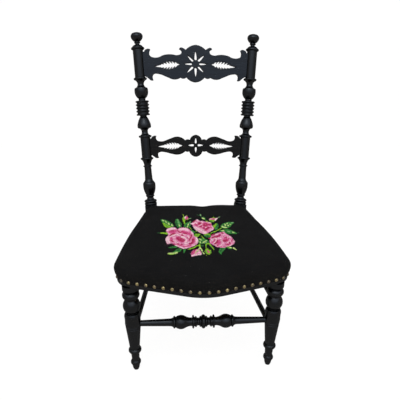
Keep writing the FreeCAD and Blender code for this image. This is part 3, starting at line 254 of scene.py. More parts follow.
def jute(name, dark, light, thread, stripe=None):
    """Coarse plain weave of two sets of threads; webbing has a stripe along each edge."""
    material, tree, bsdf = material_tree(name)
    place = put(tree, "UVMap", uv_map="cut").outputs[0]
    wander = put(tree, "TexNoise", {"Vector": place, "Scale": 220.0, "Detail": 2.0}).outputs["Color"]
    shift = put(tree, "VectorMath", {0: wander, 3: 0.0006}, operation="SCALE").outputs[0]
    apart = parts(tree, put(tree, "VectorMath", {0: place, 1: shift}).outputs[0])
    turns = math.pi / thread
    u = math_node(tree, "SINE", times(tree, apart[0], turns))
    v = math_node(tree, "SINE", times(tree, apart[1], turns))
    height = math_node(tree, "ABSOLUTE", times(tree, u, v))
    # The weave's colour is partly painted shade, darker where the threads dip between crossings, and partly
    # random blotches.
    tone = plus(tree, times(tree, height, 0.6), times(tree, cloud(tree, place, 120.0), 0.5))
    colour = mix(tree, tone, dark, light)
    if stripe:
        band = math_node(tree, "COMPARE", math_node(tree, "ABSOLUTE", parts(tree, place)[0]), 0.0165)
        band.node.inputs[2].default_value = 0.0016
        colour = mix(tree, band, colour, stripe)
    linked(tree, bsdf, Base_Color=colour, Normal=relief(tree, height, 0.8, 0.0006))
    fixed(bsdf, Roughness=0.95, Specular_IOR_Level=0.15)
    return material


def backdrop(name, share):
    """White to the eye and in reflections; a share of it is lit, so that it takes a soft shadow."""
    material, tree, bsdf = material_tree(name)
    fixed(bsdf, Base_Color=(0.90, 0.82, 0.73, 1), Roughness=1.0, Specular_IOR_Level=0.0)
    white = put(tree, "Emission", {"Color": (1, 1, 1, 1), "Strength": 1.0}).outputs[0]
    ray = put(tree, "LightPath").outputs
    seen = math_node(tree, "MAXIMUM", ray["Is Camera Ray"], ray["Is Glossy Ray"])
    seen = math_node(tree, "MAXIMUM", seen, ray["Is Transmission Ray"])
    both = put(tree, "MixShader", {0: times(tree, seen, 1 - share), 1: bsdf.outputs[0], 2: white})
    tree.links.new(both.outputs[0], tree.nodes["Material Output"].inputs["Surface"])
    return material


WOOD_UP = ebonised("ebonised_upright", (160, 160, 9))
WOOD_ACROSS = ebonised("ebonised_across", (9, 160, 160))
WOOD_DEEP = ebonised("ebonised_front_to_rear", (160, 9, 160))
# Crest rail: a lit copy of the wood, its blue black base a painted sky reflection.
WOOD_CREST_PAINTED_SKY = ebonised("ebonised_crest_painted_sky", (9, 160, 160), 0.072, PAINTED_SKY_BLUE_BLACK)
# Lower back rail: a shaded copy of the wood, with less polish so that it renders darker, as painted shade.
WOOD_LOWER_SHADED = ebonised("ebonised_lower_rail_shaded", (9, 160, 160), 0.036, BROWN_BLACK)
COVER = needlework("black_needlework")
BRASS = old_brass("antique_brass")
WEBBING = jute("jute_webbing", (0.10, 0.070, 0.040, 1), (0.40, 0.31, 0.19, 1), 0.0016, (0.12, 0.10, 0.09, 1))
HESSIAN = jute("hessian_weave", (0.07, 0.050, 0.030, 1), (0.36, 0.27, 0.16, 1), 0.0019)
FIBRE = jute("stuffing_fibre", (0.10, 0.08, 0.06, 1), (0.28, 0.23, 0.17, 1), 0.003)

# Wool shades of the bouquet
SHADES = {
    "blush": (0.57, 0.345, 0.34), "pink": (0.50, 0.155, 0.235), "rose": (0.42, 0.040, 0.125),
    "wine": (0.27, 0.005, 0.036), "dark": (0.005, 0.045, 0.006), "leaf": (0.017, 0.135, 0.014),
    "lime": (0.15, 0.30, 0.003), "mint": (0.38, 0.44, 0.13), "sage": (0.13, 0.235, 0.082),
}
WOOLS = {name: wool("wool_" + name, colour) for name, colour in SHADES.items()}


# Mesh helpers


def add(name, data):
    """A new object in the scene."""
    thing = bpy.data.objects.new(name, data)
    bpy.context.scene.collection.objects.link(thing)
    return thing


def plain_mesh(name, points, faces):
    """A mesh from points in millimetres."""
    mesh = bpy.data.meshes.new(name)
    mesh.from_pydata([tuple(float(c) * MM for c in p) for p in points], [], faces)
    mesh.update()
    return mesh


def join_chair(piece):
    """A piece rides on the chair."""
    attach(piece, "root")


def new_piece(name, points, faces, materials):
    piece = add(name, plain_mesh(name, points, faces))
    for material in materials:
        piece.data.materials.append(material)
    piece.data.shade_smooth()
    join_chair(piece)
    return piece


def apply_modifiers(piece):
    """Replaces a piece's mesh by what its modifiers make of it."""
    shaped = bpy.data.meshes.new_from_object(piece.evaluated_get(bpy.context.evaluated_depsgraph_get()))
    piece.modifiers.clear()
    piece.data = shaped


def thicken(piece, thickness, offset=0):
    """Gives a sheet its thickness, to both sides or, with an offset of -1, inwards."""
    shell = piece.modifiers.new("thickness", "SOLIDIFY")
    shell.thickness = thickness * MM
    shell.offset = offset
    apply_modifiers(piece)


def cut_by(piece, tools, folded=False):
    """Cuts tools out of a piece and removes them; a folded piece crosses itself at its corners."""
    for tool in tools:
        cut = piece.modifiers.new("cut", "BOOLEAN")
        cut.object = tool
        cut.operation = "DIFFERENCE"
        cut.solver = "EXACT"
        cut.use_self = folded
    apply_modifiers(piece)
    for tool in tools:
        bpy.data.objects.remove(tool)


def lay_out(piece, places):
    """Gives each point its place in the flat cloth, in metres, as the map the weave follows."""
    layer = piece.data.uv_layers.new(name="cut")
    for loop in piece.data.loops:
        layer.data[loop.index].uv = [c * MM for c in places[loop.vertex_index]]


def arc(a, via, b, count):
    """Points after a along the circle through three points."""
    a, via, b = (np.array(p, float) for p in (a, via, b))
    (x1, y1), (x2, y2) = via - a, b - a
    cross = 2 * (x1 * y2 - y1 * x2)
    q1, q2 = x1 * x1 + y1 * y1, x2 * x2 + y2 * y2
    middle = a + np.array([y2 * q1 - y1 * q2, x1 * q2 - x2 * q1]) / cross
    radius = np.linalg.norm(a - middle)
    first = math.atan2(*(a - middle)[::-1])
    sweep = math.atan2(*(b - middle)[::-1]) - first
    sweep -= 2 * math.pi * round(sweep / (2 * math.pi))
    angles = [first + sweep * k / count for k in range(1, count + 1)]
    return [middle + radius * np.array([math.cos(angle), math.sin(angle)]) for angle in angles]


def swollen(a, b, full):
    """A point beside the middle of a chord, for an arc that swells to its right by a share of its length."""
    dx, dy = b[0] - a[0], b[1] - a[1]
    return ((a[0] + b[0]) / 2 + dy * full, (a[1] + b[1]) / 2 - dx * full)


# Cushion


def seat_outline(count):
    """The plan of the seat, evenly spaced from the middle of the front rightwards, and its normals."""
    s = SEAT
    bow_y = -s["front"] + s["bow"] * math.tan(math.radians(s["angle"] / 2))
    bow = (s["bow"], bow_y)
    corner = s["half"] - s["corner_width"]
    turn_in = (corner, bow_y + (corner - s["bow"]) * math.tan(math.radians(s["angle"])))
    turn_out = (s["half"], turn_in[1] + s["corner_depth"])
    rear = (s["rear_half"], s["rear"])
    front = (0.0, -s["front"])
    chord = math.degrees(math.atan(s["corner_depth"] / s["corner_width"]))
    corner_full = math.tan(math.radians(chord - s["angle"]) / 2) / 2
    side_chord = 90 + math.degrees(math.atan((s["half"] - s["rear_half"]) / (s["rear"] - turn_out[1])))
    side_full = math.tan(math.radians(side_chord - 2 * chord + s["angle"]) / 2) / 2
    right = arc((-bow[0], bow[1]), front, bow, 20)[9:]
    right += [np.array(bow) + (np.array(turn_in) - bow) * k / 30 for k in range(1, 31)]
    right += arc(turn_in, swollen(turn_in, turn_out, corner_full), turn_out, 20)
    right += arc(turn_out, swollen(turn_out, rear, side_full), rear, 60)
    right += [np.array([rear[0] * (1 - k / 30), rear[1]]) for k in range(1, 31)]
    left = [np.array([-p[0], p[1]]) for p in right[-2:0:-1]]
    loop = np.array(right + left)
    closed = np.vstack([loop, loop[:1]])
    run = np.concatenate([[0], np.cumsum(np.linalg.norm(np.diff(closed, axis=0), axis=1))])
    at = np.linspace(0, run[-1], count, endpoint=False)
    points = np.column_stack([np.interp(at, run, closed[:, k]) for k in (0, 1)])
    rearward = np.clip((points[:, 1:] - EASE_FROM) / EASE_OVER, 0, 1)
    for _ in range(int(EASE_ROUNDS * (count / COVER_POINTS) ** 2) + 1):
        eased = (np.roll(points, 1, 0) + 2 * points + np.roll(points, -1, 0)) / 4
        points = points + (eased - points) * rearward
    along = np.roll(points, -1, 0) - np.roll(points, 1, 0)
    along /= np.linalg.norm(along, axis=1)[:, None]
    return points, np.column_stack([along[:, 1], -along[:, 0]])


def dome(x, y):
    """Height of the cover's top: a shallow dome, straighter across along the rear, where it has a dip."""
    rearward = min(1.0, max(0.0, (y - REAR_FROM) / REAR_OVER))
    fill = x * x / (2 * CROWN_RADIUS) - DIP * math.exp(-((x - DIP_X) / DIP_WIDTH) ** 2)
    ball = CROWN_TOP - CROWN_RADIUS + math.sqrt(CROWN_RADIUS ** 2 - x * x - (y - CROWN_Y) ** 2)
    return ball + fill * rearward * rearward * (3 - 2 * rearward)


def crown(x, y):
    """The dome, a little uneven."""
    return sum((height * noise.noise((x / size, y / size, seed)) for height, size, seed in LUMPS), dome(x, y))


def nail_centres():
    """Rough plan places of the nails, from groups of their solids' points."""
    groups = {}
    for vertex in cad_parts["cover_nails"].data.vertices:
        key = (round(vertex.co.x * 1000 / NAIL_CELL), round(vertex.co.y * 1000 / NAIL_CELL))
        groups.setdefault(key, []).append(vertex.co)
    return [sum(group, Vector()) / len(group) * 1000 for group in groups.values()]


def cushion(inset, low, rings, count):
    """Rows of points of a crowned cushion, from its lower edge up, their places in flat cloth, its peak."""
    plan, outward = seat_outline(count)
    plan = plan + outward * (COVER_OUT - inset)
    nails = np.array([p[:2] for p in nail_centres()])
    gap = np.min(np.linalg.norm(plan[:, None] - nails[None], axis=2), axis=1)
    slack = 1 - np.exp(-(gap / PUCKER_WIDTH) ** 2)
    radius = EDGE - inset
    rows, cut = [], []
    tilt = np.array([max(0.0, dome(*(p - n)) - dome(*p)) for p, n in zip(plan, outward)])
    reach = radius * (1 - tilt)
    top = plan - outward * reach[:, None]
    level = np.array([crown(*p) - inset for p in top]) - radius * np.sqrt(1 - tilt ** 2)
    middle = np.array(SEAT_MIDDLE)
    full = BELLY + CORNER_BELLY * outward[:, 0] ** 2 * np.clip((70 - plan[:, 1]) / 140, 0, 1)

    def belly(z):
        """How far the side swells at a height."""
        return full * np.sin(np.pi * np.clip((z - NAIL_Z) / (level + BELLY_RISE - NAIL_Z), 0, 1))

    # the side
    for k in range(SIDE_ROWS):
        z = low + (level - low) * (k / SIDE_ROWS)
        pucker = PUCKER * slack * np.exp(-((z - NAIL_Z) / PUCKER_HEIGHT) ** 2)
        out = belly(z) + pucker - SET_IN
        rows.append(np.column_stack([plan + outward * out[:, None], z]))
        cut.append(top + outward * (radius * 1.5 + level - z)[:, None])
    # the rounded edge
    for k in range(EDGE_ROWS):
        turn = (math.pi / 2 - np.arcsin(tilt)) * k / (EDGE_ROWS - 1)
        z = level + radius * np.sin(turn)
        out = belly(z) - SET_IN * np.cos(turn) - radius * (1 - np.cos(turn))
        rows.append(np.column_stack([plan + outward * out[:, None], z]))
        cut.append(top + outward * (radius * (math.pi / 2 - turn))[:, None])
    # the top
    for k in range(1, rings):
        spot = top + (middle - top) * (k / rings)
        rows.append(np.column_stack([spot, [crown(*p) - inset for p in spot]]))
        cut.append(spot)
    return rows, cut, np.array([*middle, crown(*middle) - inset])


def skin(rows, peak, closed_below=False):
    """Points and faces between rows of points, a fan at the peak and, where asked, a flat underside."""
    count = len(rows[0])
    points = np.vstack([*rows, peak[None]])
    faces = []
    for r in range(len(rows) - 1):
        for k in range(count):
            after = (k + 1) % count
            faces.append((r * count + k, r * count + after, (r + 1) * count + after, (r + 1) * count + k))
    last = (len(rows) - 1) * count
    faces += [(last + k, last + (k + 1) % count, len(points) - 1) for k in range(count)]
    if closed_below:
        faces.append(tuple(reversed(range(count))))
    return points, faces


def notched(piece, room, folded=False):
    """Cuts the square blocks of the posts out of a piece, with some room."""
    sides = [(0, 2, 3, 1), (4, 5, 7, 6), (0, 1, 5, 4), (2, 6, 7, 3), (0, 4, 6, 2), (1, 3, 7, 5)]
    half = BLOCK / 2 + room
    corners = [(x * half, y * half, z * NOTCH_REACH) for z in (-1, 1) for y in (-1, 1) for x in (-1, 1)]
    blocks = []
    for side in (-1, 1):
        place = Matrix.Translation([c * MM for c in (side * KNEE[0], KNEE[1], KNEE[2])])
        lean = Matrix.Rotation(math.radians(-LEAN), 4, "X")
        block = plain_mesh("block", corners, sides)
        block.transform(place @ lean @ Matrix.Rotation(math.radians(side * SPLAY), 4, "Y"))
        blocks.append(add("block", block))
    cut_by(piece, blocks, folded)


# Seat cover: one cloth over the stuffing, nailed along its lower edge
rows, cut, peak = cushion(inset=0.0, low=HEM, rings=34, count=COVER_POINTS)
points, faces = skin(rows, peak)
cover = new_piece("seat_cover_cloth", points, faces, [COVER])
lay_out(cover, np.vstack([*cut, peak[None, :2]]))
thicken(cover, 1.5, offset=-1)
notched(cover, room=0.9)
cover.data.shade_smooth()
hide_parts("seat_cover")

# Stuffing: the same form within the cover, flat below, where the fifth row of points is drawn down
rows, cut, peak = cushion(inset=2.6, low=PAD_LOW, rings=16, count=PAD_POINTS)
points, faces = skin(rows[4:], peak, closed_below=True)
points[:PAD_POINTS, 2] = PAD_LOW
pad = new_piece("stuffing_pad", points, faces, [FIBRE])
lay_out(pad, points[:, :2])
notched(pad, room=1.6, folded=True)
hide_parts("stuffing")

# Bouquet: outlines filled with a shade of wool, from the back to the front
BOUQUET = [
    ("leaf",
     "-115,25 -106,21 -97,14 -87,-2 -79,-16 -74,-30 -72,-40 -79,-44 -88,-44 -95,-41 -101,-28 -105,-10 "
     "-109,6"),
    ("lime", "-107,-1 -103,-25 -97,-41 -90,-45 -83,-44 -78,-42 -83,-35 -90,-26 -98,-14"),
    ("dark", "-104,15 -101,-6 -99,-4 -102,17"),
    ("dark", "-95,0 -92,-20 -90,-19 -93,1"),
    ("dark", "-86,-13 -82,-34 -80,-32 -84,-11"),
    ("dark", "-76,-29 -74,-42 -73,-40 -74,-27"),
    ("mint", "-109,15 -104,4 -102,11 -107,22"),
    ("mint", "-101,6 -95,-12 -93,-6 -99,12"),
    ("mint", "-92,-12 -86,-28 -84,-23 -90,-6"),
    ("mint", "-82,-25 -77,-39 -75,-34 -80,-19"),
    ("leaf", "-101,-22 -91,-36 -90,-32 -100,-18"),
    ("leaf", "-95,-38 -88,-39 -88,-35 -95,-34"),
    ("leaf", "-65,21 -60,15 -57,-2 -53,-15 -51,-33 -53,-45 -58,-49 -65,-41 -69,-23 -70,0 -68,16"),
    ("dark", "-69,7 -68,-19 -64,-41 -62,-38 -65,-18 -66,7"),
    ("dark", "-56,-19 -54,-39 -52,-38 -54,-18"),
    ("sage", "-64,13 -61,-10 -60,-28 -57,-26 -59,-8 -61,14"),
    ("mint", "-60,-26 -58,-43 -55,-41 -58,-23"),
    ("lime", "-45,3 -44,-27 -41,-26 -42,4"),
    ("lime", "-47,57 -44,35 -42,38 -45,59"),
    ("lime", "-35,51 -37,39 -35,36 -33,48"),
    ("lime", "-49,21 -44,36 -40,38 -42,15 -38,6 -44,-5 -47,-6 -48,8"),
    ("rose", "-41,38 -34,41 -30,23 -34,9 -38,9 -41,18"),
    ("blush", "-40,41 -37,41 -37,26 -40,17 -43,24"),
    ("sage", "-29,17 -22,17 -22,22 -29,22"),
    ("lime", "-34,5 -29,15 -30,20 -35,10"),
    ("leaf", "-23,1 -24,-23 -29,-46 -36,-55 -41,-50 -47,-38 -42,-26 -37,-14 -31,-12"),
    ("dark", "-28,-16 -31,-38 -29,-40 -25,-18"),
    ("dark", "-40,-26 -40,-47 -37,-46 -38,-25"),
    ("sage", "-25,-3 -32,-21 -30,-26 -24,-8"),
    ("mint", "-32,-19 -35,-35 -37,-46 -35,-48 -33,-38 -29,-22"),
    ("lime", "-30,-49 -25,-67 -23,-65 -29,-46"),
    ("leaf", "-27,-74 -18,-90 -15,-82 -24,-66"),
    ("lime", "-13,-80 -9,-77 -9,-72 -14,-76"),
    ("lime", "-110,-80 -102,-82 -95,-87 -89,-89 -89,-80 -95,-79 -102,-74 -110,-72"),
    ("lime", "-96,-80 -87,-76 -88,-70 -96,-74"),
    ("dark", "-119,-76 -110,-80 -110,-74 -119,-70"),
    ("leaf", "-88,-159 -82,-158 -73,-154 -66,-156 -62,-159 -68,-164 -77,-164 -83,-163"),
    ("dark", "-82,-162 -71,-159 -71,-156 -82,-158"),
    ("leaf", "-79,-185 -72,-179 -66,-170 -59,-168 -53,-171 -56,-180 -62,-184 -68,-188"),
    ("dark", "-66,-179 -57,-177 -58,-171 -66,-174"),
    ("mint", "-91,-186 -83,-185 -75,-185 -68,-183 -62,-184 -65,-188 -72,-192 -80,-193 -87,-190"),
    ("lime", "-87,-191 -78,-194 -71,-192 -71,-189 -78,-191 -87,-189"),
    ("leaf", "-49,-169 -43,-172 -45,-181 -48,-188 -51,-189 -49,-180"),
    ("lime", "-38,-176 -27,-171 -19,-167 -14,-159 -15,-155 -20,-163 -28,-167 -38,-172"),
    ("sage", "6,57 6,35 9,36 9,58"),
    ("dark", "-4,49 2,37 3,42 -3,55"),
    ("dark", "6,35 9,21 10,23 8,38"),
    ("leaf", "9,21 14,30 20,20 20,9 13,8"),
    ("mint", "9,15 17,6 19,15 11,24"),
    ("leaf", "18,8 21,-10 22,-7 20,11"),
    ("lime", "19,-11 25,-14 26,-5 21,-2"),
    ("lime", "29,3 36,18 43,21 47,35 48,21 55,21 48,1 42,-13 36,-13 32,-5"),
    ("leaf", "32,-7 38,-13 39,-8 33,-1"),
    ("rose", "34,12 41,19 50,18 49,7 43,1 37,3"),
    ("pink", "31,4 40,9 40,19 31,13"),
    ("blush", "49,18 59,24 53,7 48,-6 47,4"),
    ("sage", "59,21 67,33 67,37 58,26"),
    ("lime", "30,-17 35,-21 36,-14 31,-10"),
    ("lime", "35,-53 38,-39 45,-27 51,-18 47,-39 41,-56"),
    ("leaf", "51,-18 54,-34 52,-50 46,-67 39,-67 42,-53 47,-37"),
    ("dark", "49,-29 47,-55 49,-55 52,-29"),
    ("leaf", "59,-43 65,-28 74,-18 85,-11 95,-9 104,-11 94,-26 88,-44 79,-54 69,-57 62,-55"),
    ("dark", "67,-30 67,-46 70,-44 70,-27"),
    ("dark", "77,-23 76,-46 79,-44 79,-21"),
    ("dark", "85,-20 84,-43 87,-42 88,-18"),
    ("dark", "71,-48 79,-48 80,-41 72,-42"),
    ("mint", "61,-44 66,-54 76,-55 77,-47 68,-46 64,-37"),
    ("mint", "71,-26 73,-42 76,-38 75,-21"),
    ("mint", "82,-14 78,-26 80,-29 84,-17"),
    ("mint", "79,-38 83,-42 85,-34 81,-30"),
    ("mint", "86,-28 89,-34 91,-27 88,-21"),
    ("sage", "93,-17 100,-16 101,-9 94,-11"),
    ("lime", "61,-51 46,-71 36,-80 26,-89 26,-93 37,-84 47,-75 62,-55"),
    ("dark", "31,-92 40,-89 40,-82 31,-85"),
    ("leaf", "50,-75 58,-68 70,-63 80,-64 88,-71 96,-79 100,-85 97,-91 85,-91 74,-90 66,-85 59,-81"),
    ("dark", "67,-75 73,-87 75,-82 69,-70"),
    ("dark", "81,-76 85,-90 88,-86 84,-72"),
    ("mint", "58,-77 65,-76 66,-68 59,-69"),
    ("sage", "73,-79 82,-82 83,-75 75,-71"),
    ("mint", "86,-83 92,-85 93,-79 87,-77"),
    ("dark", "101,-85 106,-84 106,-80 101,-82"),
    ("leaf", "-25,-67 -20,-71 -16,-78 -18,-85 -23,-80"),
    ("lime", "-13,-80 -9,-77 -9,-72 -14,-76"),
    ("lime", "-21,-102 -14,-90 -8,-92 0,-94 -5,-101 -10,-111 -17,-111"),
    ("leaf", "-15,-106 -8,-101 -8,-96 -15,-102"),
    ("leaf", "-19,-103 -13,-95 -14,-92 -19,-99"),
    ("leaf", "5,-100 15,-92 21,-93 27,-104 25,-112 17,-114 10,-110"),
    ("lime", "10,-101 18,-97 25,-104 26,-98 19,-90 9,-95"),
    ("dark", "11,-109 20,-111 21,-106 12,-103"),
    ("lime", "-2,-104 3,-114 5,-123 7,-122 5,-112 -1,-101"),
    ("leaf", "-9,-119 -2,-118 5,-120 13,-126 18,-135 17,-144 10,-146 3,-148 -5,-149 -10,-144"),
    ("dark", "-2,-131 -1,-147 2,-146 1,-129"),
    ("dark", "9,-140 15,-145 17,-139 10,-134"),
    ("dark", "-9,-133 -5,-138 -4,-133 -8,-129"),
    ("mint", "-8,-123 0,-132 1,-128 -7,-119"),
    ("mint", "-7,-137 -5,-146 -2,-142 -5,-134"),
    ("mint", "2,-146 7,-138 13,-134 13,-128 6,-133 0,-142"),
    ("sage", "6,-147 13,-140 12,-136 5,-144"),
    ("dark", "-7,-161 3,-163 4,-155 -6,-153"),
    ("lime", "-28,-172 -20,-165 -14,-159 -15,-155 -21,-161 -29,-168"),
    ("lime", "-14,-159 -10,-159 -9,-156 -14,-156"),
    ("lime", "-9,-146 -9,-169 -6,-169 -6,-146"),
    ("lime", "16,-142 10,-147 6,-157 7,-171 10,-169 9,-158 11,-152 17,-148"),
    ("leaf", "11,-151 8,-161 9,-162 13,-152"),
    ("lime", "15,-147 20,-158 24,-168 27,-179 29,-176 26,-165 22,-154 17,-143"),
    ("leaf", "18,-156 23,-168 24,-167 19,-155"),
    ("lime", "4,-182 8,-172 11,-168 14,-177 19,-178 21,-187 19,-193 15,-196 14,-203 11,-197 7,-196 4,-188"),
    ("leaf", "5,-183 7,-194 9,-193 7,-181"),
    ("leaf", "17,-193 21,-185 20,-183 16,-191"),
    ("rose", "9,-178 12,-179 16,-186 14,-194 11,-191 10,-183"),
    ("lime", "5,-204 8,-204 8,-201 5,-201"),
    ("leaf", "44,-167 51,-167 58,-168 56,-177 49,-185 45,-193 44,-201 40,-193 39,-183"),
    ("dark", "46,-168 42,-188 45,-189 49,-168"),
    ("dark", "53,-169 49,-180 51,-181 55,-170"),
    ("leaf", "60,-162 68,-161 74,-164 76,-170 72,-175 65,-174 62,-169"),
    ("mint", "67,-168 73,-172 75,-166 69,-163"),
    ("mint", "75,-169 79,-173 83,-179 85,-175 81,-168 77,-164"),
    ("lime", "61,-166 68,-165 68,-162 62,-162"),
    ("pink",
     "-95,-66 -94,-55 -88,-48 -79,-44 -71,-46 -66,-54 -63,-61 -60,-53 -53,-48 -43,-49 -34,-54 -30,-64 "
     "-26,-75 -20,-88 -21,-100 -19,-106 -13,-110 -9,-122 -9,-134 -13,-148 -19,-156 -26,-161 -32,-166 "
     "-40,-169 -49,-170 -55,-166 -61,-162 -67,-155 -73,-149 -77,-141 -82,-139 -87,-143 -90,-144 "
     "-93,-134 -95,-123 -95,-112 -94,-102 -89,-97 -88,-89 -91,-81 -93,-73"),
    ("rose", "-88,-70 -79,-61 -68,-62 -64,-72 -70,-81 -79,-84 -86,-84"),
    ("rose", "-56,-74 -46,-68 -37,-79 -29,-87 -28,-102 -35,-96 -44,-93 -51,-87"),
    ("rose", "-84,-110 -80,-104 -77,-110 -78,-121 -75,-131 -79,-130 -83,-122"),
    ("rose", "-24,-112 -20,-110 -17,-127 -18,-136 -23,-148 -31,-151 -33,-146 -25,-135"),
    ("rose", "-70,-108 -62,-101 -54,-105 -47,-116 -43,-127 -45,-136 -53,-139 -60,-133 -66,-125"),
    ("rose",
     "-76,-146 -68,-150 -60,-153 -53,-161 -44,-163 -35,-160 -25,-154 -26,-148 -36,-154 -44,-156 "
     "-52,-154 -59,-147 -68,-143 -76,-139"),
    ("blush", "-95,-66 -93,-55 -86,-48 -77,-45 -69,-49 -66,-57 -74,-58 -82,-59 -89,-65 -92,-71"),
    ("blush", "-61,-59 -55,-52 -45,-51 -36,-57 -31,-69 -34,-75 -41,-67 -49,-65 -57,-67"),
    ("blush", "-95,-114 -93,-102 -88,-99 -84,-110 -85,-124 -82,-136 -89,-143 -92,-134 -95,-123"),
    ("blush", "-17,-112 -13,-112 -9,-124 -10,-136 -14,-147 -18,-145 -15,-134 -15,-123"),
    ("blush", "-28,-79 -21,-97 -19,-93 -25,-74"),
    ("blush", "-84,-106 -76,-101 -69,-96 -62,-98 -59,-105 -56,-99 -61,-91 -70,-88 -77,-94 -86,-99"),
    ("blush", "-89,-85 -84,-92 -82,-86 -88,-79"),
    ("blush", "-76,-119 -73,-120 -70,-127 -64,-128 -67,-134 -72,-131"),
    ("blush", "-75,-113 -69,-109 -69,-105 -76,-109"),
    ("blush", "-56,-109 -47,-115 -43,-121 -42,-127 -46,-134 -43,-140 -38,-129 -40,-116 -46,-107 -54,-101"),
    ("blush", "-47,-140 -40,-140 -33,-135 -35,-143 -41,-148 -46,-147"),
    ("blush", "-71,-151 -63,-158 -54,-166 -48,-171 -47,-166 -53,-161 -62,-154 -70,-147"),
    ("blush", "-30,-154 -24,-159 -17,-155 -18,-150 -24,-153 -28,-149"),
    ("blush", "-45,-168 -37,-167 -37,-162 -45,-163"),
    ("blush", "-59,-87 -53,-93 -52,-88 -58,-82"),
    ("blush", "-38,-101 -33,-118 -31,-115 -35,-98"),
    ("blush", "-49,-94 -41,-101 -40,-96 -48,-89"),
    ("blush", "-71,-140 -62,-142 -62,-137 -70,-135"),
    ("blush", "-48,-155 -38,-156 -38,-152 -48,-152"),
    ("wine", "-81,-71 -73,-72 -73,-65 -81,-64"),
    ("wine", "-84,-101 -77,-94 -69,-88 -70,-79 -79,-85 -86,-92"),
    ("wine", "-66,-62 -63,-75 -56,-85 -54,-79 -61,-70 -63,-58"),
    ("wine", "-61,-81 -54,-87 -53,-79 -60,-72"),
    ("wine", "-54,-77 -47,-80 -46,-73 -54,-70"),
    ("wine", "-47,-88 -38,-92 -37,-85 -47,-81"),
    ("wine", "-55,-97 -49,-104 -47,-96 -54,-90"),
    ("wine", "-67,-114 -62,-103 -56,-109 -50,-117 -45,-126 -47,-133 -53,-135 -58,-128 -64,-122"),
    ("rose", "-62,-113 -56,-118 -55,-113 -61,-108"),
    ("rose", "-53,-124 -49,-128 -48,-123 -53,-119"),
    ("wine", "-27,-92 -30,-111 -36,-128 -33,-133 -27,-115 -23,-94"),
    ("wine", "-27,-121 -26,-133 -30,-141 -35,-144 -34,-152 -28,-149 -21,-136 -22,-119"),
    ("wine", "-83,-128 -74,-135 -73,-128 -81,-121"),
    ("wine", "-56,-150 -50,-152 -49,-146 -56,-145"),
    ("wine", "-67,-143 -61,-147 -60,-143 -67,-139"),
    ("wine", "-39,-110 -37,-121 -35,-120 -37,-108"),
    ("wine", "-22,-120 -21,-133 -19,-132 -20,-119"),
    ("wine", "-74,-148 -69,-149 -69,-146 -74,-145"),
    ("wine", "-85,-72 -81,-69 -82,-65 -86,-67"),
    ("wine", "-32,-79 -29,-90 -28,-88 -31,-77"),
    ("pink",
     "-21,-18 -18,-8 -11,3 -4,9 -1,2 3,-4 9,-3 16,-9 23,-12 30,-14 34,-24 35,-37 37,-48 40,-62 34,-71 "
     "26,-80 17,-92 7,-95 -1,-87 -8,-77 -15,-64 -19,-49 -20,-33 -24,-23"),
    ("rose",
     "-16,-26 -6,-16 8,-17 19,-17 33,-22 35,-44 30,-55 23,-64 17,-77 13,-75 11,-64 4,-55 -5,-46 "
     "-14,-38"),
    ("blush", "-19,-45 -13,-43 -6,-52 2,-62 9,-73 15,-82 18,-91 7,-94 0,-87 -10,-75 -16,-61"),
    ("pink", "-11,-69 -1,-81 6,-90 7,-86 1,-77 -10,-65"),
    ("blush", "-26,-27 -14,-26 -14,-18 -25,-19"),
    ("blush", "-8,3 -2,-9 0,-2 -5,11"),
    ("blush", "-14,-15 -7,-29 -5,-22 -12,-8"),
    ("blush", "5,-10 11,-23 13,-17 7,-4"),
    ("blush", "1,-37 9,-29 8,-22 1,-30"),
    ("blush", "27,-70 33,-64 39,-59 38,-64 32,-73 26,-80"),
    ("blush", "33,-39 34,-59 36,-57 35,-37"),
    ("blush", "-5,-43 2,-40 2,-34 -5,-37"),
    ("blush", "6,-52 10,-44 9,-38 4,-47"),
    ("blush", "14,-57 20,-52 20,-46 14,-51"),
    ("pink", "21,-44 30,-53 32,-46 23,-37"),
    ("blush", "25,-24 32,-22 32,-16 25,-18"),
    ("wine", "-18,-17 -9,-3 -10,5 -19,-10"),
    ("wine", "-5,-25 -1,-11 6,-17 3,-30 -3,-32"),
    ("wine", "9,-35 14,-22 22,-24 24,-37 19,-47 13,-46"),
    ("rose", "14,-34 20,-39 21,-33 15,-28"),
    ("wine", "23,-34 31,-34 32,-25 24,-25"),
    ("wine", "-2,-47 5,-51 7,-43 -1,-39"),
    ("wine", "7,-59 12,-63 14,-55 8,-52"),
    ("wine", "14,-77 20,-63 28,-57 27,-47 18,-54 11,-70"),
    ("wine", "-12,-33 -8,-38 -7,-33 -11,-28"),
    ("wine", "29,-47 32,-56 34,-53 31,-43"),
    ("pink",
     "18,-120 25,-113 27,-102 35,-95 43,-91 52,-85 59,-82 66,-78 67,-89 70,-94 76,-102 83,-112 84,-126 "
     "88,-134 83,-147 76,-155 69,-161 62,-161 57,-168 49,-168 42,-165 36,-165 30,-156 23,-150 19,-142 "
     "20,-132 24,-123"),
    ("rose", "28,-113 37,-102 48,-93 55,-93 52,-109 44,-113 35,-115"),
    ("rose", "44,-126 50,-123 49,-142 44,-156 38,-154 40,-139"),
    ("rose", "54,-128 60,-117 70,-112 75,-116 72,-131 65,-138 56,-139"),
    ("rose", "59,-145 65,-147 74,-141 76,-148 68,-157 61,-154"),
    ("rose", "76,-125 77,-140 81,-137 80,-123"),
    ("rose", "25,-145 32,-137 37,-125 34,-122 30,-133 24,-140"),
    ("rose", "59,-155 53,-164 54,-168 60,-159"),
    ("rose", "45,-160 49,-167 51,-163 47,-156"),
    ("blush", "24,-139 27,-127 32,-123 32,-119 25,-124 22,-138"),
    ("blush", "34,-118 38,-125 36,-133 28,-142 30,-148 38,-138 42,-122 37,-112"),
    ("blush", "42,-122 54,-120 55,-115 42,-116"),
    ("blush", "50,-154 56,-146 54,-135 53,-124 50,-126 51,-138 54,-145 49,-148"),
    ("blush", "71,-106 67,-120 70,-121 73,-108"),
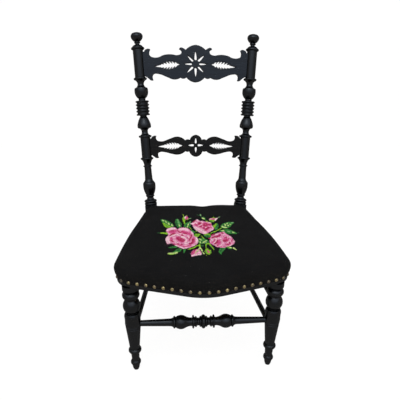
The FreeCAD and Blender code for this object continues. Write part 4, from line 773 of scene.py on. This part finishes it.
    ("blush", "82,-131 88,-134 84,-139 81,-138"),
    ("blush", "67,-146 72,-135 71,-132 65,-143"),
    ("blush", "37,-104 48,-97 48,-91 37,-98"),
    ("blush", "59,-103 66,-98 66,-93 58,-98"),
    ("blush", "74,-107 78,-119 80,-115 77,-103"),
    ("blush", "31,-153 36,-161 38,-157 33,-149"),
    ("blush", "41,-161 51,-158 51,-153 41,-156"),
    ("blush", "75,-126 74,-138 77,-137 77,-125"),
    ("blush", "68,-162 78,-154 77,-150 68,-157"),
    ("blush", "65,-80 65,-89 67,-88 67,-78"),
    ("blush", "25,-129 28,-134 30,-131 26,-125"),
    ("wine", "26,-108 39,-98 38,-91 25,-101"),
    ("wine", "27,-120 37,-115 47,-113 55,-97 53,-91 46,-105 37,-107 27,-112"),
    ("wine", "55,-89 60,-96 63,-89 57,-82"),
    ("wine", "54,-132 58,-126 64,-125 71,-123 68,-132 61,-137 56,-137"),
    ("wine", "41,-124 37,-138 29,-146 31,-153 40,-144 45,-128"),
    ("wine", "64,-113 67,-122 70,-118 67,-108"),
    ("wine", "69,-141 72,-150 76,-145 73,-135"),
    ("wine", "36,-159 42,-159 42,-154 37,-153"),
    ("wine", "18,-123 25,-119 25,-114 18,-118"),
    ("wine", "62,-152 67,-154 68,-149 63,-147"),
    ("wine", "80,-121 81,-130 84,-128 82,-119"),
    ("wine", "60,-109 62,-119 64,-117 62,-107"),
    ("pink",
     "-32,-189 -25,-178 -19,-174 -14,-174 -8,-176 -6,-186 -4,-197 -10,-199 -18,-203 -24,-205 -29,-209 "
     "-31,-204"),
    ("rose", "-32,-191 -25,-178 -18,-173 -14,-176 -18,-185 -22,-194 -27,-200 -31,-198"),
    ("wine", "-24,-185 -15,-178 -16,-172 -25,-179"),
    ("wine", "-30,-191 -25,-186 -26,-182 -31,-188"),
    ("blush", "-30,-208 -21,-203 -12,-202 -4,-199 -4,-193 -13,-196 -21,-197 -31,-202"),
    ("blush", "-15,-187 -9,-193 -7,-188 -13,-182"),
    ("blush", "-19,-184 -15,-177 -16,-174 -20,-182"),
    ("mint", "-8,-164 -13,-177 -19,-186 -22,-192 -20,-195 -17,-189 -11,-180 -6,-166"),
    ("mint", "-9,-167 -5,-178 -3,-189 1,-199 3,-196 -1,-187 -2,-176 -7,-164"),
    ("leaf", "-4,-183 -1,-193 0,-192 -3,-181"),
    ("leaf", "-13,-181 -18,-188 -17,-190 -12,-183"),
]


def inside(points, outline):
    """Which points lie in a closed outline."""
    found = np.zeros(len(points), bool)
    for (x1, y1), (x2, y2) in zip(outline, np.roll(outline, -1, 0)):
        if y1 != y2:
            level = (points[:, 1] < y1) != (points[:, 1] < y2)
            found ^= level & (points[:, 0] < x1 + (points[:, 1] - y1) * (x2 - x1) / (y2 - y1))
    return found


def rounded_off(line):
    """The same outline with its corners cut."""
    ends = np.roll(line, -1, 0)
    return np.stack([line * 0.75 + ends * 0.25, line * 0.25 + ends * 0.75], 1).reshape(-1, 2)


columns, lines = np.arange(*CANVAS_X, STITCH), np.arange(*CANVAS_Y, STITCH)
canvas = np.array([(x, y) for y in lines for x in columns])
painted = np.full(len(canvas), -1)
names = list(SHADES)
for shade, words in BOUQUET:
    drawn = np.array([[float(c) for c in pair.split(",")] for pair in words.split()])
    painted[inside(canvas, rounded_off(drawn))] = names.index(shade)

# Each stitch is a small slanted mound: rings of eight points, each with a height and a share of the full
# size, closed above and below
RING = 8
MOUND = ((-0.25, 1.0), (0.42, 0.80), (0.66, 0.36))
points, faces, shades = [], [], []
for (x, y), shade in zip(canvas, painted):
    if shade < 0:
        continue
    spin = math.pi / 4 + random.uniform(-0.12, 0.12)
    forth = np.array([math.cos(spin), math.sin(spin)]) * STITCH * random.uniform(0.66, 0.74)
    side = np.array([-forth[1], forth[0]]) * 0.56
    base = len(points)
    ring = [-forth, -forth * 0.62 - side * 0.86, -side, forth * 0.62 - side * 0.86,
            forth, forth * 0.62 + side * 0.86, side, -forth * 0.62 + side * 0.86]
    for lift, scale in MOUND:
        for step in ring:
            px, py = x + step[0] * scale, y + step[1] * scale
            points.append((px, py, crown(px, py) + lift))
    for level in range(len(MOUND) - 1):
        for k in range(RING):
            after = (k + 1) % RING
            faces.append(tuple(base + level * RING + i for i in (k, after, after + RING, k + RING)))
    faces.append(tuple(base + (len(MOUND) - 1) * RING + k for k in range(RING)))
    faces.append(tuple(base + k for k in reversed(range(RING))))
    shades += [shade] * (len(faces) - len(shades))
stitches = new_piece("bouquet_stitches", points, faces, list(WOOLS.values()))
stitches.data.polygons.foreach_set("material_index", np.array(shades, np.int32))


# Webbing: straps woven over and under each other, and the hessian that lies on them


def strap(points, faces, places, start, end, waves):
    """Adds a flat strap from start to end; waves are pairs of a distance and a height on the way."""
    start, end = np.array(start), np.array(end)
    length = np.linalg.norm(end - start)
    along = (end - start) / length
    side = np.array([along[1], -along[0]])
    steps = int(length / STRAP_STEP)
    base = len(points)
    for k in range(steps + 1):
        run = length * k / steps
        lift = sum(height * math.exp(-((run - at) / WEAVE_REACH) ** 2) for at, height in waves)
        for across in (-1, -0.5, 0, 0.5, 1):
            spot = start + along * run + side * across * STRAP_WIDTH / 2
            points.append((*spot, RAIL_TOP + STRAP_REST + lift))
            places.append((across * STRAP_WIDTH / 2, run))
    for k in range(steps):
        for a in range(4):
            corner = base + k * 5 + a
            faces.append((corner, corner + 1, corner + 6, corner + 5))


def strap_piece(name, node, straps):
    """All straps of one direction, in place of a node."""
    points, faces, places = [], [], []
    for start, end, waves in straps:
        strap(points, faces, places, start, end, waves)
    piece = new_piece(name, points, faces, [WEBBING])
    lay_out(piece, places)
    thicken(piece, 0.8)
    piece.data.shade_smooth()
    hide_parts(node)


def cross_half(y):
    """Half length of a cross strap, which is held on the side rails."""
    (front_x, front_y), (rear_x, rear_y) = RAIL_FRONT, RAIL_REAR
    return front_x - (y - front_y) * (front_x - rear_x) / (rear_y - front_y) + HOLD


long_x = [LONG_PITCH * k for k in (-1.5, -0.5, 0.5, 1.5)]
cross_y = [CROSS_FIRST + CROSS_PITCH * k for k in range(4)]
long_straps, cross_straps = [], []
for i, x in enumerate(long_x):
    waves = [(y - LONG_FRONT, WEAVE if (i + j) % 2 else -WEAVE) for j, y in enumerate(cross_y)]
    long_straps.append(((x, LONG_FRONT), (x, LONG_REAR), waves))
for j, y in enumerate(cross_y):
    half = cross_half(y)
    waves = [(x + half, -WEAVE if (i + j) % 2 else WEAVE) for i, x in enumerate(long_x)]
    cross_straps.append(((-half, y), (half, y), waves))
strap_piece("webbing_long_straps", "webbing_lengthwise", long_straps)
strap_piece("webbing_cross_straps", "webbing_crosswise", cross_straps)

plan, outward = seat_outline(PAD_POINTS)
plan = plan - outward * HESSIAN_INSET
peak = np.array([*SEAT_MIDDLE, PAD_BOTTOM - HESSIAN_BELOW])
height = np.full(PAD_POINTS, peak[2])
shares = [k / HESSIAN_RINGS for k in range(HESSIAN_RINGS)]
rows = [np.column_stack([plan * (1 - share) + peak[:2] * share, height]) for share in shares]
points, faces = skin(rows, peak)
sacking = new_piece("hessian_cloth", points, faces, [HESSIAN])
lay_out(sacking, points[:, :2])
thicken(sacking, 0.5)
notched(sacking, room=1.4)
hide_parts("hessian")


# Back rails: their solids, with the teeth of the leaves sawn as wide as on the chair


def leaf_outline(tip):
    """A toothed leaf, in shares of its length and half width; its teeth lean to the outer end."""

    def fullness(t):
        return math.sin(math.pi * t ** 0.85)

    def edge(t):
        return t, 0.5 * fullness(t) ** 0.6

    side = [edge(0.02), edge(0.06)]
    for k in range(6):
        t = 0.1 + 0.113 * k
        high = fullness(t + 0.115)
        side += [edge(t - 0.004), (t + 0.07, 0.92 * high), (t + 0.125, tip * high), (t + 0.118, 0.92 * high)]
        side.append(edge(t + 0.085))
    side += [edge(0.86), edge(0.91), edge(0.96), (1.0, 0.1)]
    return [(-0.02, 0.0)] + side + [(1.045, 0.0)] + [(t, -w) for t, w in reversed(side)]


def leaf_saw(height, start, end, middle, sink, half, tip):
    """Both leaves as prisms through a rail; height is that of its ornament above the knee, along the back."""
    slope = math.radians(LEAN)
    points, faces = [], []
    for side in (-1, 1):
        loop = []
        for t, w in leaf_outline(tip):
            loop.append((side * (start + (end - start) * t), height + middle - sink * t + half * w))
        count, first = len(loop), len(points)
        for depth in (-SAW_DEPTH, SAW_DEPTH):
            points += [(x, KNEE[1] + math.sin(slope) * v - math.cos(slope) * depth,
                        KNEE[2] + math.cos(slope) * v + math.sin(slope) * depth) for x, v in loop]
        rear = list(range(first, first + count))
        front = [i + count for i in rear]
        prism = [rear, front[::-1]]
        for i in range(count):
            prism.append([rear[(i + 1) % count], rear[i], front[i], front[(i + 1) % count]])
        faces += [face[::side] for face in prism]
    return add("leaves", plain_mesh("leaves", points, faces))


def sawn_rail(name, node, material, **leaf):
    """Stands for a back rail, with wider leaves."""
    piece = add(name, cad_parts[node].data.copy())
    cut_by(piece, [leaf_saw(**leaf)])
    piece.data.materials.clear()
    piece.data.materials.append(material)
    piece.data.shade_smooth()
    piece.data.set_sharp_from_angle(angle=math.radians(30))
    join_chair(piece)
    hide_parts(node)


sawn_rail("crest_rail_sawn", "crest_rail", WOOD_CREST_PAINTED_SKY,
          height=482.69, start=50.6, end=128.3, middle=-0.99, sink=7.6, half=13.0, tip=1.1)
sawn_rail("lower_back_rail_sawn", "lower_back_rail", WOOD_LOWER_SHADED,
          height=226.7, start=45.9, end=119.1, middle=-1.06, sink=3.04, half=10.8, tip=1.05)

# The other wood and the nails keep their solids and get their finish
for name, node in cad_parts.items():
    if node.hide_render:
        continue
    if name == "cover_nails":
        finish = BRASS
    elif name in ("front_stretcher", "rear_stretcher", "seat_rail_front", "seat_rail_rear"):
        finish = WOOD_ACROSS
    elif name.startswith(("side_stretcher", "seat_rail")):
        finish = WOOD_DEEP
    else:
        finish = WOOD_UP
    node.data.materials.clear()
    node.data.materials.append(finish)


# Stage, in metres: pale floor and screens, soft light from above and the front


def panel(name, corners, material):
    mesh = bpy.data.meshes.new(name)
    mesh.from_pydata(corners, [], [(0, 1, 2, 3)])
    mesh.materials.append(material)
    add(name, mesh)


WIDE, REAR, BESIDE, TALL, LOWER = 6, 2.6, 4.5, 4, 3
ground, screen = backdrop("pale_floor", 0.06), backdrop("pale_backdrop", 0.03)
panel("floor", [(-WIDE, -WIDE, 0), (WIDE, -WIDE, 0), (WIDE, WIDE, 0), (-WIDE, WIDE, 0)], ground)
panel("backdrop", [(-WIDE, REAR, 0), (WIDE, REAR, 0), (WIDE, REAR, TALL), (-WIDE, REAR, TALL)], screen)
for x in (-BESIDE, BESIDE):
    panel("side_screen", [(x, REAR, 0), (x, -WIDE, 0), (x, -WIDE, LOWER), (x, REAR, LOWER)], screen)

world = bpy.data.worlds.new("studio")
bpy.context.scene.world = world
world.use_nodes = True
tree = world.node_tree
way = parts(tree, put(tree, "TexCoord").outputs["Generated"])
sky = put(tree, "ValToRGB", {0: way[2]})
ramp = sky.color_ramp
ramp.elements[0].color = (0.30, 0.31, 0.32, 1)
ramp.elements[1].color = (0.89, 1.0, 1.18, 1)
for at, level in ((0.13, 0.31), (0.30, 0.58), (0.40, 0.84), (0.55, 0.95)):
    ramp.elements.new(at).color = (level * 0.89, level, level * 1.18, 1)
facing = spread(tree, way[1], 0.3, -0.7, 0.7, 3.3)
linked(tree, tree.nodes["Background"], Color=sky.outputs[0], Strength=facing)

softbox = bpy.data.lights.new("key", "AREA")
softbox.shape = "RECTANGLE"
softbox.size, softbox.size_y = 1.5, 1.0
softbox.energy = 30
softbox.color = (0.82, 0.93, 1.0)
key = add("key", softbox)
key.location = (-0.2, -1.25, 2.5)
key.rotation_euler = (Vector((0, 0.1, 0.5)) - key.location).to_track_quat("-Z", "Y").to_euler()

# Camera, as the photograph was taken
PHOTO_WIDTH, FOCAL_PIXELS = 400, 388.8
EYE = (-0.0674, -1.0530, 0.7729)
azimuth, elevation, roll = (math.radians(a) for a in (-3.79, 19.86, 0.70))
level = Vector((math.sin(azimuth), -math.cos(azimuth), 0))
back = level * math.cos(elevation) + Vector((0, 0, math.sin(elevation)))
right = Vector((math.cos(azimuth), math.sin(azimuth), 0))
up = back.cross(right)
across = right * math.cos(roll) + up * math.sin(roll)
upward = up * math.cos(roll) - right * math.sin(roll)
lens = bpy.data.cameras.new("camera")
lens.sensor_width = 36
lens.lens = 36 * FOCAL_PIXELS / PHOTO_WIDTH
camera = add("camera", lens)
camera.matrix_world = Matrix.Translation(EYE) @ Matrix((across, upward, back)).transposed().to_4x4()
bpy.context.scene.camera = camera
bpy.context.scene.view_settings.view_transform = "Standard"
